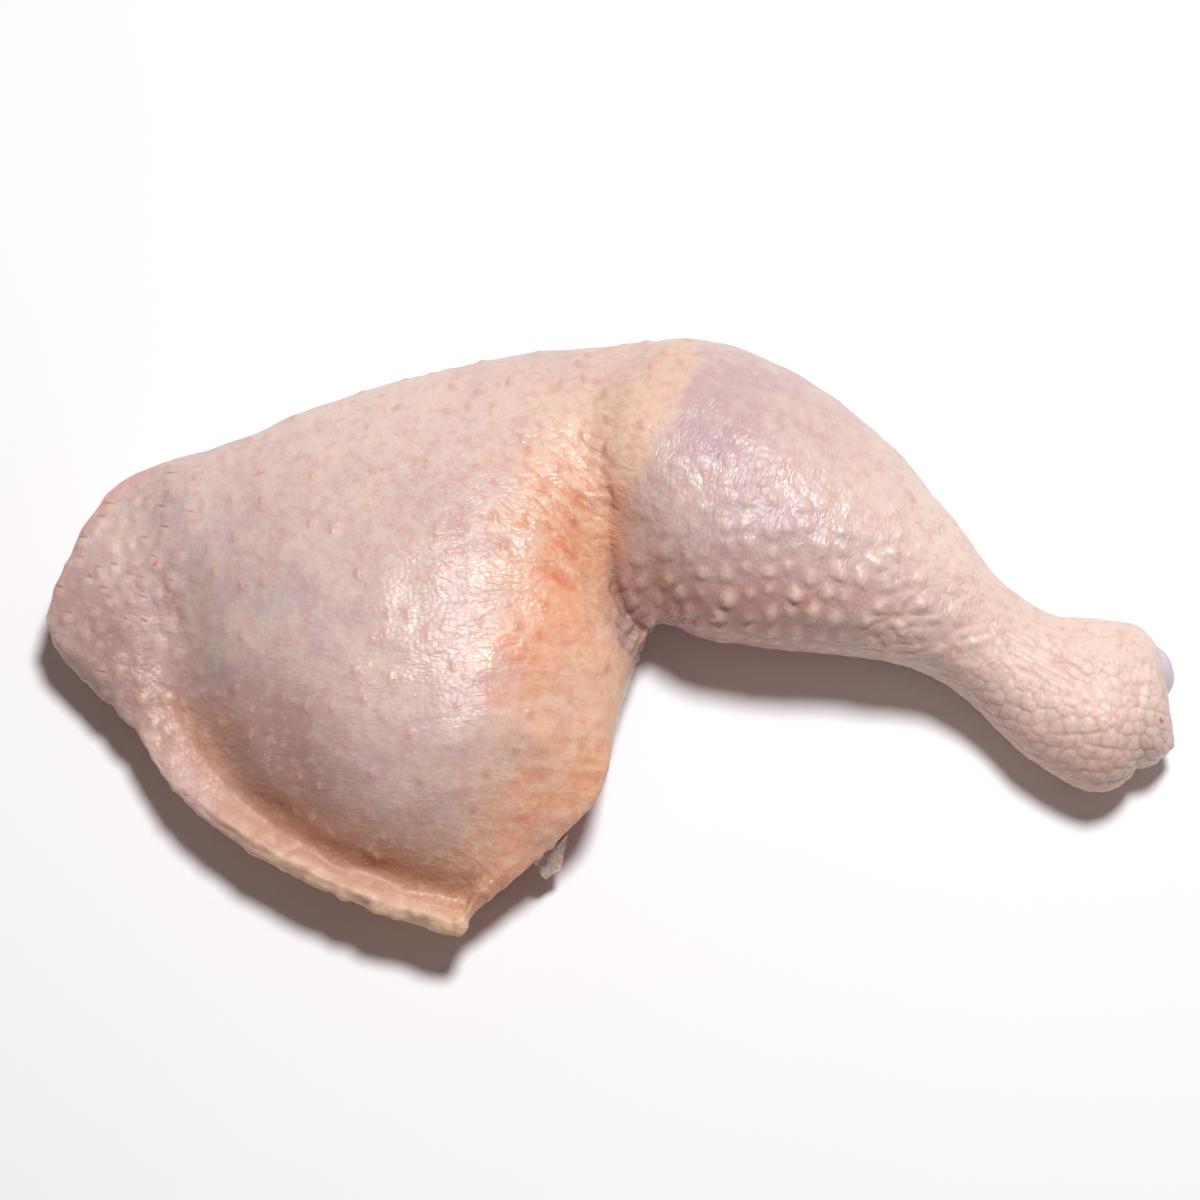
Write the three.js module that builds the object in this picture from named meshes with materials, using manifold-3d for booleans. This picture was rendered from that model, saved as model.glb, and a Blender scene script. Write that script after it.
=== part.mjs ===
// A raw chicken leg quarter, thigh and drumstick in one piece, lying flat with its skin side up.
// Millimetres. +X runs from the thigh's cut end to the hock, +Y away from the viewer, +Z up.
//
// The leg is a loft of sections. Each section stands on a line drawn in plan from the near edge of the
// outline to its far edge. Over the thigh it is a sheet of skin and fat that lies on the meat: a thin flap
// along the near side, a dome, and a curl down the far side. Past the knee it closes into the full round
// of the drumstick. The meat below fills the thigh, and the gristle of the hock joint sits in the shank end.
import * as THREE from 'three';
import { mergeVertices } from 'three/addons/utils/BufferGeometryUtils.js';
import Module from 'manifold-3d';

const wasm = await Module();
wasm.setup();

// ---- driving dimensions -------------------------------------------------------------------------------

const SKIN = 3.2;           // skin with its fat, over the thigh
const SKIN_EDGE = 2.2;      // the same at the cut edge of the flap
const CLEARANCE = 0.5;      // between one tissue and the next
const PLAN_MIDDLE = [2.61, -7.47]; // middle of the leg's box, so that the origin is below it

// Sections, from the thigh's cut end to the hock. near and far are the two ends of a section's line,
// [x, y, height]. crown is the height of the skin halfway between them and sole that of the underside.
// bow bends the line towards the thigh in the middle, so that it runs with the knee crease.
const SECTIONS = [
  { near: [-118.3, -3.5, 14], far: [-118.3, -3.5, 14], crown: 14, sole: 0, bow: 0 },
  { near: [-114.8, -10.9, 14], far: [-115.7, 5.6, 16], crown: 18.5, sole: 0, bow: 0 },
  { near: [-107.0, -18.3, 14], far: [-109.9, 18.8, 17], crown: 22.5, sole: 0, bow: 0 },
  { near: [-98.5, -27.1, 15], far: [-103.8, 27.0, 17], crown: 25.5, sole: 0, bow: 0 },
  { near: [-91.1, -38.9, 16], far: [-95.3, 31.2, 17], crown: 28.5, sole: 0, bow: 0 },
  { near: [-80.2, -49.6, 17], far: [-83.5, 34.8, 17], crown: 31.5, sole: 0, bow: 0 },
  { near: [-64.3, -59.6, 18], far: [-66.2, 42.2, 17], crown: 35.5, sole: 0, bow: 0 },
  { near: [-48.6, -66.9, 18], far: [-48.9, 48.8, 17], crown: 38, sole: 0, bow: 0 },
  { near: [-35.1, -71.4, 17.5], far: [-35.9, 52.0, 18], crown: 39, sole: 0, bow: 0 },
  { near: [-29.1, -72.6, 17.2], far: [-29.3, 53.1, 18.4], crown: 39, sole: 0, bow: 0 },
  { near: [-26.1, -68.0, 17], far: [-26.1, 53.7, 18.6], crown: 38.8, sole: 0, bow: 0 },
  { near: [-14.6, -58.2, 16], far: [-18.5, 55.3, 19.3], crown: 37.8, sole: 0, bow: 0 },
  { near: [0.0, -43.3, 15], far: [-8.7, 56.4, 20.5], crown: 36.5, sole: 0, bow: 3 },
  { near: [3.4, -27.4, 14], far: [1.1, 56.3, 21.5], crown: 36, sole: 0, bow: 6 },
  { near: [7.7, -13.2, 14], far: [9.8, 57.0, 22], crown: 38, sole: 0, bow: 9 },
  { near: [12.2, -4.6, 16], far: [18.4, 57.6, 22], crown: 41.5, sole: 0, bow: 10 },
  { near: [21.8, -8.6, 19], far: [28.9, 55.6, 22], crown: 44, sole: 0, bow: 7 },
  { near: [40.1, -11.2, 20], far: [43.3, 48.4, 22], crown: 44, sole: 0, bow: 3 },
  { near: [59.1, -13.1, 19], far: [61.2, 34.6, 20], crown: 38.5, sole: 0, bow: 0 },
  { near: [71.4, -16.1, 16], far: [74.8, 18.9, 17], crown: 31, sole: 1.5, bow: 0 },
  { near: [81.6, -23.3, 13], far: [85.7, 5.1, 14], crown: 25.5, sole: 3.5, bow: 0 },
  { near: [91.9, -33.6, 12], far: [96.7, -2.2, 13], crown: 24.5, sole: 2, bow: 0 },
  { near: [104.7, -40.2, 11.5], far: [108.2, -3.0, 13], crown: 25.5, sole: 0, bow: 0 },
  { near: [111.6, -36.8, 10.5], far: [114.9, -4.8, 13], crown: 24, sole: 0.6, bow: 0 },
  { near: [113.2, -34.7, 10], far: [117.3, -7.9, 13], crown: 23.5, sole: 1.5, bow: 0 },
  { near: [117.4, -33.7, 9.5], far: [119.8, -16.8, 12], crown: 20, sole: 4, bow: 0 },
  { near: [121.7, -29.6, 9.5], far: [121.7, -29.6, 9.5], crown: 9.5, sole: 9.5, bow: 0 },
];
const MEAT_FROM = 2.4;      // the meat starts and ends at these sections
const MEAT_TO = 11.8;
const MEAT = { bulge: 1.2, tuck: 4, rim: 1.5, end_width: 0.7, end_height: 0.6 };
// Between which sections the form changes: the flap's dome gives way to a plain arch, the raised rim ends,
// the drumstick's form comes in, and the sheet of skin closes into the drumstick's full round.
const FLAP_ENDS = [11.5, 14.5];
const RIM_ENDS = [9.5, 12.5];
const DRUMSTICK_COMES = [11.5, 15];
const ROUND = [12.0, 12.9];
const ARCH_POWER = { drumstick: 0.95, hip: 1.3 }; // below 1 the skin rises fuller from its edges
const WEB = { y: -10, from: 14, to: 15 }; // nearer than y the skin before the knee stays a thin web

// The line in plan where the thigh's dome starts to rise, [x, y, depth]: along the near flap it is a
// valley between the dome and the raised rim.
const VALLEY = [
  [-108, 40, 0],
  [-102, 20, 0],
  [-97, 3, 0.2],
  [-92.5, -12, 0.5],
  [-87, -26, 1],
  [-75, -40.5, 1.9],
  [-59.6, -52.1, 2.9],
  [-42.2, -59.1, 3.2],
  [-27.1, -62.8, 2.6],
  [-8, -64.5, 0],
  [14, -63, 0],
];
const VALLEY_WIDTH = 6;
// The dome starts softly over this share of its run, less so where the valley is this deep, and flattens
// towards its top.
const DOME = { foot: -5, run: 38, soft: [0.55, 0.16], deep: 3.2 };
const BELLY_FALL = 1.1;      // how soon the drumstick's belly falls away from its edges
const DRUMSTICK_LEAN = 0.84; // below 1 the drumstick's crest lies nearer the viewer than its middle

// The clean cut from the flap's corner and the edge above it to the knee, with the share of its height that
// the dome has lost there. It has it all back at this distance inside the edge.
const CUT_EDGE = [
  [-32, -80, 0.64],
  [-12.5, -60, 0.64],
  [2, -45.5, 0.6],
  [6, -29, 0.4],
  [10.5, -15, 0.1],
  [17, -6, 0],
];
const CUT_FALL = 30;
const RIM = { lift: 1.6, width: 6, ripple: 0.3, ripple_length: 13, from: 3.6, to: 6 };
const OVERHANG = { flap: 9, cut_edge: 2.2, below_knee: 6 }; // how far the skin reaches past the meat

// The far side of the thigh: the skin turns down to the table and under the meat. At the hip end it is
// only rolled over by a small radius.
const CURL = { radius: 11, rolled: 3.2, turn: 1.25, foot: 0.8, from: 1.5, to: 5 };

// The knee crease, where the thigh's skin folds in against the drumstick: [x, y, depth] along its line.
const CREASE = [
  [18, -11.5, 9],
  [11.5, -7, 12.5],
  [6.6, -3.6, 14],
  [3.6, 1, 13.5],
  [2.2, 8, 10.5],
  [1.4, 17, 5.5],
  [2.6, 27, 1.4],
  [4.6, 37, 0.3],
  [6.5, 47, 0],
];
const CREASE_SLOPE = { thigh: 6.2, drumstick: 5.8, power: 1.3 };

// Low swells and hollows of the skin: the middle, the two half widths, the turn from +X and the height.
const SWELLS = [
  { at: [-40, 0], size: [32, 26], turn: 0.2, lift: 2 },      // the fullest meat of the thigh
  { at: [-104, 2], size: [12, 24], turn: -0.3, lift: 5 },    // roll of skin at the hip end
  { at: [-93, 6], size: [7, 26], turn: -0.3, lift: 3 },      // its soft start from the dome
  { at: [30, 40], size: [26, 16], turn: -0.3, lift: 1.5 },   // shoulder of the knee
  { at: [101, -12], size: [9, 6], turn: -0.4, lift: 1.6 },   // the two knuckles of the hock
  { at: [104, -29], size: [9, 6], turn: -0.3, lift: 1.2 },
];

const GRISTLE = { at: [113.6, -16.6, 11.5], size: [8.4, 9.6, 8.8], turn: -0.55, groove: 0.14, gap: 0.3 };

// Thin strip of membrane that hangs from under the flap: its run along the near edge, in sections.
const MEMBRANE = { from: 11.05, to: 11.5, root: 1.2, reach: -3.4, top: 12.4, bottom: 7.5, thickness: 0.7 };

// How finely each piece is cut into facets.
const STEPS = { along: 82, over: 26, curl: 5, inner: 24, wall: 3, foot: 4 };
const KNEE_STEPS = { from: 12.2, to: 16, finer: 1.9 };

// ---- curves and small helpers -------------------------------------------------------------------------

const NEAR = new THREE.CatmullRomCurve3(SECTIONS.map((s) => new THREE.Vector3(...s.near)));
const FAR = new THREE.CatmullRomCurve3(SECTIONS.map((s) => new THREE.Vector3(...s.far)));
const LAST = SECTIONS.length - 1;
const tracedLine = (points) =>
  new THREE.CatmullRomCurve3(points.map((p) => new THREE.Vector3(...p))).getPoints(36);
const VALLEY_LINE = tracedLine(VALLEY);
const CUT_LINE = tracedLine(CUT_EDGE);
const CREASE_LINE = tracedLine(CREASE);

const mix = THREE.MathUtils.lerp;
const smooth = (from, to, x) => THREE.MathUtils.smoothstep(x, from, to);

// A value given at every section, eased between them.
function along(values, u) {
  const i = Math.min(Math.floor(u), LAST - 1);
  const t = u - i;
  const at = (k) => values[THREE.MathUtils.clamp(k, 0, LAST)];
  const [a, b, c, d] = [at(i - 1), at(i), at(i + 1), at(i + 2)];
  return b + 0.5 * t * (c - a + t * (2 * a - 5 * b + 4 * c - d + t * (3 * (b - c) + d - a)));
}
const CROWNS = SECTIONS.map((s) => s.crown);
const SOLES = SECTIONS.map((s) => s.sole);
const BOWS = SECTIONS.map((s) => s.bow);

// Height that the named swells and hollows add at a point of the plan.
function swell(x, y) {
  let sum = 0;
  for (const s of SWELLS) {
    const dx = x - s.at[0];
    const dy = y - s.at[1];
    const a = (dx * Math.cos(s.turn) + dy * Math.sin(s.turn)) / s.size[0];
    const b = (dy * Math.cos(s.turn) - dx * Math.sin(s.turn)) / s.size[1];
    sum += s.lift * Math.exp(-a * a - b * b);
  }
  return sum;
}

// How far a point of the plan lies to the left of a traced line, and the line's depth nearest to it.
function besideLine(line, x, y) {
  let best = Infinity;
  let found = { gap: 0, depth: 0 };
  for (let i = 0; i + 1 < line.length; i++) {
    const [p, q] = [line[i], line[i + 1]];
    const [ex, ey] = [q.x - p.x, q.y - p.y];
    const t = THREE.MathUtils.clamp(((x - p.x) * ex + (y - p.y) * ey) / (ex * ex + ey * ey), 0, 1);
    const [dx, dy] = [x - p.x - t * ex, y - p.y - t * ey];
    const distance = Math.hypot(dx, dy);
    if (distance < best) {
      best = distance;
      found = { gap: distance * Math.sign(ex * dy - ey * dx || 1), depth: mix(p.z, q.z, t) };
    }
  }
  return found;
}

// Depth of the knee crease: gentle on the thigh's side of its line and steeper on the drumstick's.
function creaseDepth(x, y) {
  const { gap, depth } = besideLine(CREASE_LINE, x, y);
  const slope = gap > 0 ? CREASE_SLOPE.thigh : CREASE_SLOPE.drumstick;
  return depth * Math.exp(-((Math.abs(gap) / slope) ** CREASE_SLOPE.power));
}

// Share of the dome's height beside the valley line: a soft start times a falling slope.
function domeProfile({ gap, depth }) {
  const t = THREE.MathUtils.clamp((gap - DOME.foot) / DOME.run, 0, 1);
  return (1 - (1 - t) ** 2) * smooth(0, mix(...DOME.soft, smooth(0, DOME.deep, depth)), t);
}

// ---- one section --------------------------------------------------------------------------------------

// What a section at u is: its line in plan, its length and how far it has turned from flap to full round.
function sectionAt(u) {
  const near = NEAR.getPoint(u / LAST);
  const far = FAR.getPoint(u / LAST);
  const length = Math.hypot(far.x - near.x, far.y - near.y);
  const across = [(far.x - near.x) / (length || 1), (far.y - near.y) / (length || 1)];
  const bow = along(BOWS, u);
  const place = (s, z) => [
    near.x + across[0] * s - bow * Math.sin((Math.PI * s) / (length || 1)),
    near.y + across[1] * s,
    z,
  ];
  const small = Math.min(1, length / 25);
  const web = Math.max(0, WEB.y - near.y) * (1 - smooth(WEB.from, WEB.to, u));
  return {
    near, far, length, place, small, web,
    crown: along(CROWNS, u),
    sole: Math.max(0, along(SOLES, u)),
    flap: 1 - smooth(...FLAP_ENDS, u),
    apron: 1 - smooth(...RIM_ENDS, u),
    drumstick: smooth(...DRUMSTICK_COMES, u),
    round: smooth(...ROUND, u),
    curl: smooth(CURL.from, CURL.to, u),
    rim: (1 - smooth(...RIM_ENDS, u)) * smooth(RIM.from, RIM.to, u),
    thickness: SKIN * Math.sqrt(small),
  };
}

// The top of the skin: turn runs from 0 at the near edge to pi at the far edge.
function overPoint(c, turn) {
  const w = (1 - Math.cos(turn)) / 2;
  const leaning = w ** mix(1, DRUMSTICK_LEAN, c.drumstick);
  const arch = 2 * Math.sqrt(leaning * (1 - leaning));
  const s = w * c.length;
  const [x, y] = c.place(s, 0);
  const base = mix(c.near.z, c.far.z, w);
  const valley = besideLine(VALLEY_LINE, x, y);
  const cut = besideLine(CUT_LINE, x, y);
  const dome = domeProfile(valley) * (1 - cut.depth * (1 - smooth(0, CUT_FALL, cut.gap)));
  const farPower = mix(ARCH_POWER.hip, ARCH_POWER.drumstick, Math.max(c.curl, c.drumstick));
  const farSide = arch ** farPower * mix(1, dome, c.flap);
  const side = leaning < 0.5 ? mix(arch ** ARCH_POWER.drumstick, dome, c.flap) : farSide;
  const rise = (c.crown - (c.near.z + c.far.z) / 2) * side;
  const dip = c.apron * valley.depth * Math.exp(-((valley.gap / VALLEY_WIDTH) ** 2));
  const ripple = 1 + RIM.ripple * Math.sin((2 * Math.PI * x) / RIM.ripple_length);
  const rim = c.rim * RIM.lift * ripple * smooth(0, 2, s) * Math.exp(-((s / RIM.width) ** 2));
  const inside = smooth(0, 0.7, arch);
  return [s, base + rise + rim - dip * smooth(0, 6, s) + inside * (swell(x, y) - creaseDepth(x, y))];
}

// The far side of the thigh's skin, from the far edge (turn 0) down and under.
function curlPoint(c, turn) {
  const reach = mix(CURL.rolled, CURL.radius, c.curl) * c.small;
  const drop = mix(CURL.rolled * c.small, c.far.z - CURL.foot, c.curl);
  return [c.length - reach * (1 - Math.cos(turn)), c.far.z - drop * Math.sin(turn) ** 0.9];
}

// The underside of the full round, back from the far edge (turn 0) to the near edge (turn pi): a thin web
// near the cut edge, then a belly that rests on the table.
function bellyPoint(c, turn) {
  const w = (1 + Math.cos(turn)) / 2;
  const s = w * c.length;
  const base = mix(c.near.z, c.far.z, w);
  const share = THREE.MathUtils.clamp((s - c.web) / (c.length - c.web), 0, 1);
  const arch = 2 * Math.sqrt(share * (1 - share));
  const belly = Math.max(c.sole, base - (base + 1.2 - c.sole) * arch ** BELLY_FALL);
  const skin = overPoint(c, Math.PI - turn)[1] - c.thickness * smooth(0, 0.3, Math.sin(turn));
  return [s, Math.min(belly, skin)];
}

// The point at a depth below a curve of the section, square to the curve.
function below(curve, t, depth) {
  const step = 1e-3;
  const [a, b] = [curve(t - step), curve(t + step)];
  const size = Math.hypot(b[0] - a[0], b[1] - a[1]) || 1;
  const [s, z] = curve(t);
  return [s + (depth * (b[1] - a[1])) / size, z - (depth * (b[0] - a[0])) / size];
}

function overhangAt(u, length) {
  const reach = mix(OVERHANG.flap, OVERHANG.cut_edge, smooth(9.2, 10.6, u));
  return Math.min(mix(reach, OVERHANG.below_knee, smooth(11.2, 12, u)), 0.3 * length);
}

// The inner side of the thigh's sheet of skin, from the foot of the curl over the dome to where the meat
// ends. The meat takes the same samples with a clearance below them.
function innerPath(c, u, clearance) {
  const path = [];
  const rolled = mix(0.35, 1, c.curl);
  for (let i = STEPS.curl; i > 0; i--) {
    const depth = c.thickness * rolled + clearance;
    path.push(below((t) => curlPoint(c, t), (CURL.turn * i) / STEPS.curl, depth));
  }
  const first = Math.acos(1 - (2 * overhangAt(u, c.length)) / c.length);
  for (let i = STEPS.inner; i >= 0; i--) {
    const turn = mix(first, Math.PI - 0.12, i / STEPS.inner);
    const depth = c.thickness * mix(1, rolled, smooth(0.8, 1, i / STEPS.inner)) + clearance;
    path.push(below((t) => overPoint(c, t), turn, depth));
  }
  return path;
}

// One closed ring of the skin: over the top, then back below it.
function skinRing(u) {
  const c = sectionAt(u);
  const over = [];
  for (let i = 0; i <= STEPS.over; i++) over.push(overPoint(c, (Math.PI * i) / STEPS.over));

  const sheet = [];
  for (let i = 1; i <= STEPS.curl; i++) sheet.push(curlPoint(c, (CURL.turn * i) / STEPS.curl));
  sheet.push(...innerPath(c, u, 0), [0, over[0][1] - SKIN_EDGE * c.small]);

  const steps = sheet.length;
  const under = sheet.map(([s, z], i) => {
    const [roundS, roundZ] = bellyPoint(c, (Math.PI * (i + 1)) / (steps + 1));
    return [mix(s, roundS, c.round), mix(z, roundZ, c.round)];
  });
  return [...over, ...under].map(([s, z]) => c.place(s, z));
}

// One closed ring of the meat: its top follows the skin's inner side, its near wall bulges a little and
// tucks in at its flat foot, and it thins and narrows to a rounded end at the hip.
function meatRing(u) {
  const c = sectionAt(u);
  const full = smooth(MEAT_FROM - 0.6, MEAT_FROM + 1.4, u);
  const middle = c.length / 2;
  const narrowed = (s) => mix(middle, s, mix(MEAT.end_width, 1, full));
  const height = mix(MEAT.end_height, 1, full);
  const top = innerPath(c, u, CLEARANCE).map(([s, z]) => [narrowed(s), Math.max(z * height, MEAT.rim)]);
  const [far, near] = [top[0], top[top.length - 1]];
  const wall = Array.from({ length: STEPS.wall }, (_, i) => {
    const down = (i + 1) / (STEPS.wall + 1);
    return [near[0] - MEAT.bulge * Math.sin(Math.PI * down) + MEAT.tuck * down ** 4, near[1] * (1 - down)];
  });
  const foot = Array.from({ length: STEPS.foot + 1 }, (_, i) => [
    mix(near[0] + MEAT.tuck, far[0], i / STEPS.foot),
    0,
  ]);
  return [...top, ...wall, ...foot].reverse().map(([s, z]) => c.place(s, z));
}

// ---- meshes -------------------------------------------------------------------------------------------

// Section numbers for a run of rings, spaced so that each step along the wider edge is about as long,
// and finer across the knee.
function spacing(from, to, steps) {
  const fine = 600;
  const lengths = [0];
  for (let i = 1; i <= fine; i++) {
    const [a, b] = [i - 1, i].map((k) => mix(from, to, k / fine));
    const knee = a > KNEE_STEPS.from && a < KNEE_STEPS.to ? KNEE_STEPS.finer : 1;
    const step = (edge) => edge.getPoint(a / LAST).distanceTo(edge.getPoint(b / LAST));
    lengths.push(lengths[i - 1] + knee * Math.max(step(NEAR), step(FAR)));
  }
  const total = lengths[fine];
  return Array.from({ length: steps + 1 }, (_, k) => {
    const i = Math.max(1, lengths.findIndex((l) => l >= (total * k) / steps - 1e-9));
    const t = ((total * k) / steps - lengths[i - 1]) / (lengths[i] - lengths[i - 1]);
    return mix(from, to, (i - 1 + t) / fine);
  });
}

// A closed solid over a run of rings, with a fan from the middle of each end ring. Each quad is split
// along its shorter diagonal.
function loft(rings) {
  const count = rings[0].length;
  const points = rings.flat();
  const apart = (a, b) => Math.hypot(...[0, 1, 2].map((k) => points[a][k] - points[b][k]));
  const middle = (ring) => [0, 1, 2].map((k) => ring.reduce((sum, p) => sum + p[k], 0) / count);
  const positions = [...points, middle(rings[0]), middle(rings[rings.length - 1])].flat();
  const [first, last] = [rings.length * count, rings.length * count + 1];
  const index = [];
  for (let j = 0; j < count; j++) {
    const k = (j + 1) % count;
    for (let i = 0; i + 1 < rings.length; i++) {
      const [a, b, c, d] = [i * count + j, i * count + k, (i + 1) * count + k, (i + 1) * count + j];
      if (apart(a, c) < apart(b, d)) index.push(a, b, c, a, c, d);
      else index.push(a, b, d, b, c, d);
    }
    index.push(first, k, j);
    index.push(last, (rings.length - 1) * count + j, (rings.length - 1) * count + k);
  }
  const geometry = new THREE.BufferGeometry();
  geometry.setAttribute('position', new THREE.Float32BufferAttribute(positions, 3));
  geometry.setIndex(index.reverse());
  return geometry;
}

function toSolid(geometry) {
  const bare = geometry.clone();
  bare.deleteAttribute('normal');
  bare.deleteAttribute('uv');
  const merged = mergeVertices(bare, 1e-3);
  return new wasm.Manifold(new wasm.Mesh({
    numProp: 3,
    vertProperties: merged.attributes.position.array,
    triVerts: new Uint32Array(merged.index.array),
  }));
}

function toGeometry(solid) {
  const mesh = solid.getMesh();
  const geometry = new THREE.BufferGeometry();
  geometry.setAttribute('position', new THREE.BufferAttribute(new Float32Array(mesh.vertProperties), 3));
  geometry.setIndex(new THREE.BufferAttribute(new Uint32Array(mesh.triVerts), 1));
  geometry.computeVertexNormals();
  return geometry;
}

// The knuckle of gristle at the shank end: an ellipsoid with a shallow groove down its outer side, grown by
// a gap where it is used to cut its seat.
function knuckle(gap) {
  const geometry = new THREE.SphereGeometry(1, 24, 14);
  const points = geometry.attributes.position;
  for (let i = 0; i < points.count; i++) {
    const [x, y, z] = [points.getX(i), points.getY(i), points.getZ(i)];
    const shrink = 1 - GRISTLE.groove * Math.exp(-((y / 0.35) ** 2)) * Math.max(0, x);
    points.setXYZ(i, x * shrink, y * shrink, z * shrink);
  }
  geometry.scale(...GRISTLE.size.map((r) => r + gap));
  geometry.rotateZ(GRISTLE.turn);
  geometry.translate(...GRISTLE.at);
  return geometry;
}

function skinSolid() {
  const stations = spacing(0, LAST, STEPS.along);
  const rings = stations.slice(1, -1).map(skinRing);
  return toSolid(loft(rings)).subtract(toSolid(knuckle(GRISTLE.gap)));
}

// The meat's rings stand at the skin's own stations, so that the two surfaces run side by side.
function meatSolid() {
  const stations = spacing(0, LAST, STEPS.along).filter((u) => u >= MEAT_FROM && u <= MEAT_TO);
  return toSolid(loft(stations.map(meatRing)));
}

// The membrane: a thin hanging strip, widest at its top, that waves as it goes down.
function membraneSolid() {
  const [columns, rows] = [8, 6];
  const face = (side) => Array.from({ length: rows + 1 }, (_, r) => {
    const down = r / rows;
    return Array.from({ length: columns + 1 }, (_, k) => {
      const share = mix(mix(0, 0.35, down), mix(1, 0.75, down), k / columns);
      const c = sectionAt(mix(MEMBRANE.from, MEMBRANE.to, share));
      const wave = 0.35 * Math.sin(7 * share + 5 * down);
      const out = mix(MEMBRANE.root, MEMBRANE.reach, down) + wave - side * MEMBRANE.thickness;
      return c.place(out, mix(MEMBRANE.top, MEMBRANE.bottom, down));
    });
  });
  const [inner, outer] = [face(0), face(1)];
  return toSolid(loft(outer.map((row, r) => [...row, ...[...inner[r]].reverse()])));
}

// ---- the leg ------------------------------------------------------------------------------------------

const LOOKS = {
  skin_covered_leg: { color: 0xe3c3ba, roughness: 0.42 },
  thigh_meat: { color: 0xc98d80, roughness: 0.45 },
  hock_gristle: { color: 0xdcd6dc, roughness: 0.3 },
  membrane_scrap: { color: 0xcbb3a9, roughness: 0.35 },
};

const leg = new THREE.Group();
leg.position.set(-PLAN_MIDDLE[0], -PLAN_MIDDLE[1], 0);

function addPiece(name, geometry) {
  const piece = new THREE.Mesh(geometry, new THREE.MeshStandardMaterial({ metalness: 0, ...LOOKS[name] }));
  piece.name = name;
  leg.add(piece);
}

addPiece('skin_covered_leg', toGeometry(skinSolid()));
addPiece('thigh_meat', toGeometry(meatSolid()));
addPiece('hock_gristle', toGeometry(toSolid(knuckle(0))));
addPiece('membrane_scrap', toGeometry(membraneSolid()));

const part = new THREE.Group();
part.add(leg);

export default part;
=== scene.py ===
"""A raw chicken leg with its skin on, lying flat on a pale surface.

The leg is worked out in millimetres in plan, +X from the thigh's cut end to the hock, +Y away from the
viewer, +Z up. The same sections as the solid model give its form; fine relief, colour and gloss are added
here. Everything is turned to metres when it is put into a mesh.
"""
import math

import bpy
import numpy as np
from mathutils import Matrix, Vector


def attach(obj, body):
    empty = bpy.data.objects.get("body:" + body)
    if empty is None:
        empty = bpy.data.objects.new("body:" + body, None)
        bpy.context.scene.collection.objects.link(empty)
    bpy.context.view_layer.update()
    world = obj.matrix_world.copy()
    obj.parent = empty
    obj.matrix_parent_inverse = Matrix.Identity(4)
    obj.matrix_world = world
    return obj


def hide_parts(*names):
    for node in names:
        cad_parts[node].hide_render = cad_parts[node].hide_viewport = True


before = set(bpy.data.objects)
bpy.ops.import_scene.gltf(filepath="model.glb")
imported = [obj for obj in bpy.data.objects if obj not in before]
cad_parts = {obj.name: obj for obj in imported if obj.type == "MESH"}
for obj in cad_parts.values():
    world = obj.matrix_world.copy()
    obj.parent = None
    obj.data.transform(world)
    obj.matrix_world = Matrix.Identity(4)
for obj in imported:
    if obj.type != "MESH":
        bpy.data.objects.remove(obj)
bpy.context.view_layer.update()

# ---- sizes that the solid model uses too ----

SKIN = 3.2                   # skin with its fat, over the thigh
SKIN_EDGE = 2.2              # the same at the cut edge of the flap
CLEARANCE = 0.5              # between one tissue and the next
PLAN_MIDDLE = (2.61, -7.47)  # middle of the leg's box, so that the origin is below it

# Sections from the thigh's cut end to the hock: near end, far end, height of the crown halfway between
# them, height of the underside, and how far the line bows towards the thigh in its middle.
SECTIONS = (
    ((-118.3, -3.5, 14), (-118.3, -3.5, 14), 14, 0, 0),
    ((-114.8, -10.9, 14), (-115.7, 5.6, 16), 18.5, 0, 0),
    ((-107.0, -18.3, 14), (-109.9, 18.8, 17), 22.5, 0, 0),
    ((-98.5, -27.1, 15), (-103.8, 27.0, 17), 25.5, 0, 0),
    ((-91.1, -38.9, 16), (-95.3, 31.2, 17), 28.5, 0, 0),
    ((-80.2, -49.6, 17), (-83.5, 34.8, 17), 31.5, 0, 0),
    ((-64.3, -59.6, 18), (-66.2, 42.2, 17), 35.5, 0, 0),
    ((-48.6, -66.9, 18), (-48.9, 48.8, 17), 38, 0, 0),
    ((-35.1, -71.4, 17.5), (-35.9, 52.0, 18), 39, 0, 0),
    ((-29.1, -72.6, 17.2), (-29.3, 53.1, 18.4), 39, 0, 0),
    ((-26.1, -68.0, 17), (-26.1, 53.7, 18.6), 38.8, 0, 0),
    ((-14.6, -58.2, 16), (-18.5, 55.3, 19.3), 37.8, 0, 0),
    ((0.0, -43.3, 15), (-8.7, 56.4, 20.5), 36.5, 0, 3),
    ((3.4, -27.4, 14), (1.1, 56.3, 21.5), 36, 0, 6),
    ((7.7, -13.2, 14), (9.8, 57.0, 22), 38, 0, 9),
    ((12.2, -4.6, 16), (18.4, 57.6, 22), 41.5, 0, 10),
    ((21.8, -8.6, 19), (28.9, 55.6, 22), 44, 0, 7),
    ((40.1, -11.2, 20), (43.3, 48.4, 22), 44, 0, 3),
    ((59.1, -13.1, 19), (61.2, 34.6, 20), 38.5, 0, 0),
    ((71.4, -16.1, 16), (74.8, 18.9, 17), 31, 1.5, 0),
    ((81.6, -23.3, 13), (85.7, 5.1, 14), 25.5, 3.5, 0),
    ((91.9, -33.6, 12), (96.7, -2.2, 13), 24.5, 2, 0),
    ((104.7, -40.2, 11.5), (108.2, -3.0, 13), 25.5, 0, 0),
    ((111.6, -36.8, 10.5), (114.9, -4.8, 13), 24, 0.6, 0),
    ((113.2, -34.7, 10), (117.3, -7.9, 13), 23.5, 1.5, 0),
    ((117.4, -33.7, 9.5), (119.8, -16.8, 12), 20, 4, 0),
    ((121.7, -29.6, 9.5), (121.7, -29.6, 9.5), 9.5, 9.5, 0),
)
NEAR_ENDS = np.array([s[0] for s in SECTIONS], float)
FAR_ENDS = np.array([s[1] for s in SECTIONS], float)
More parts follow.
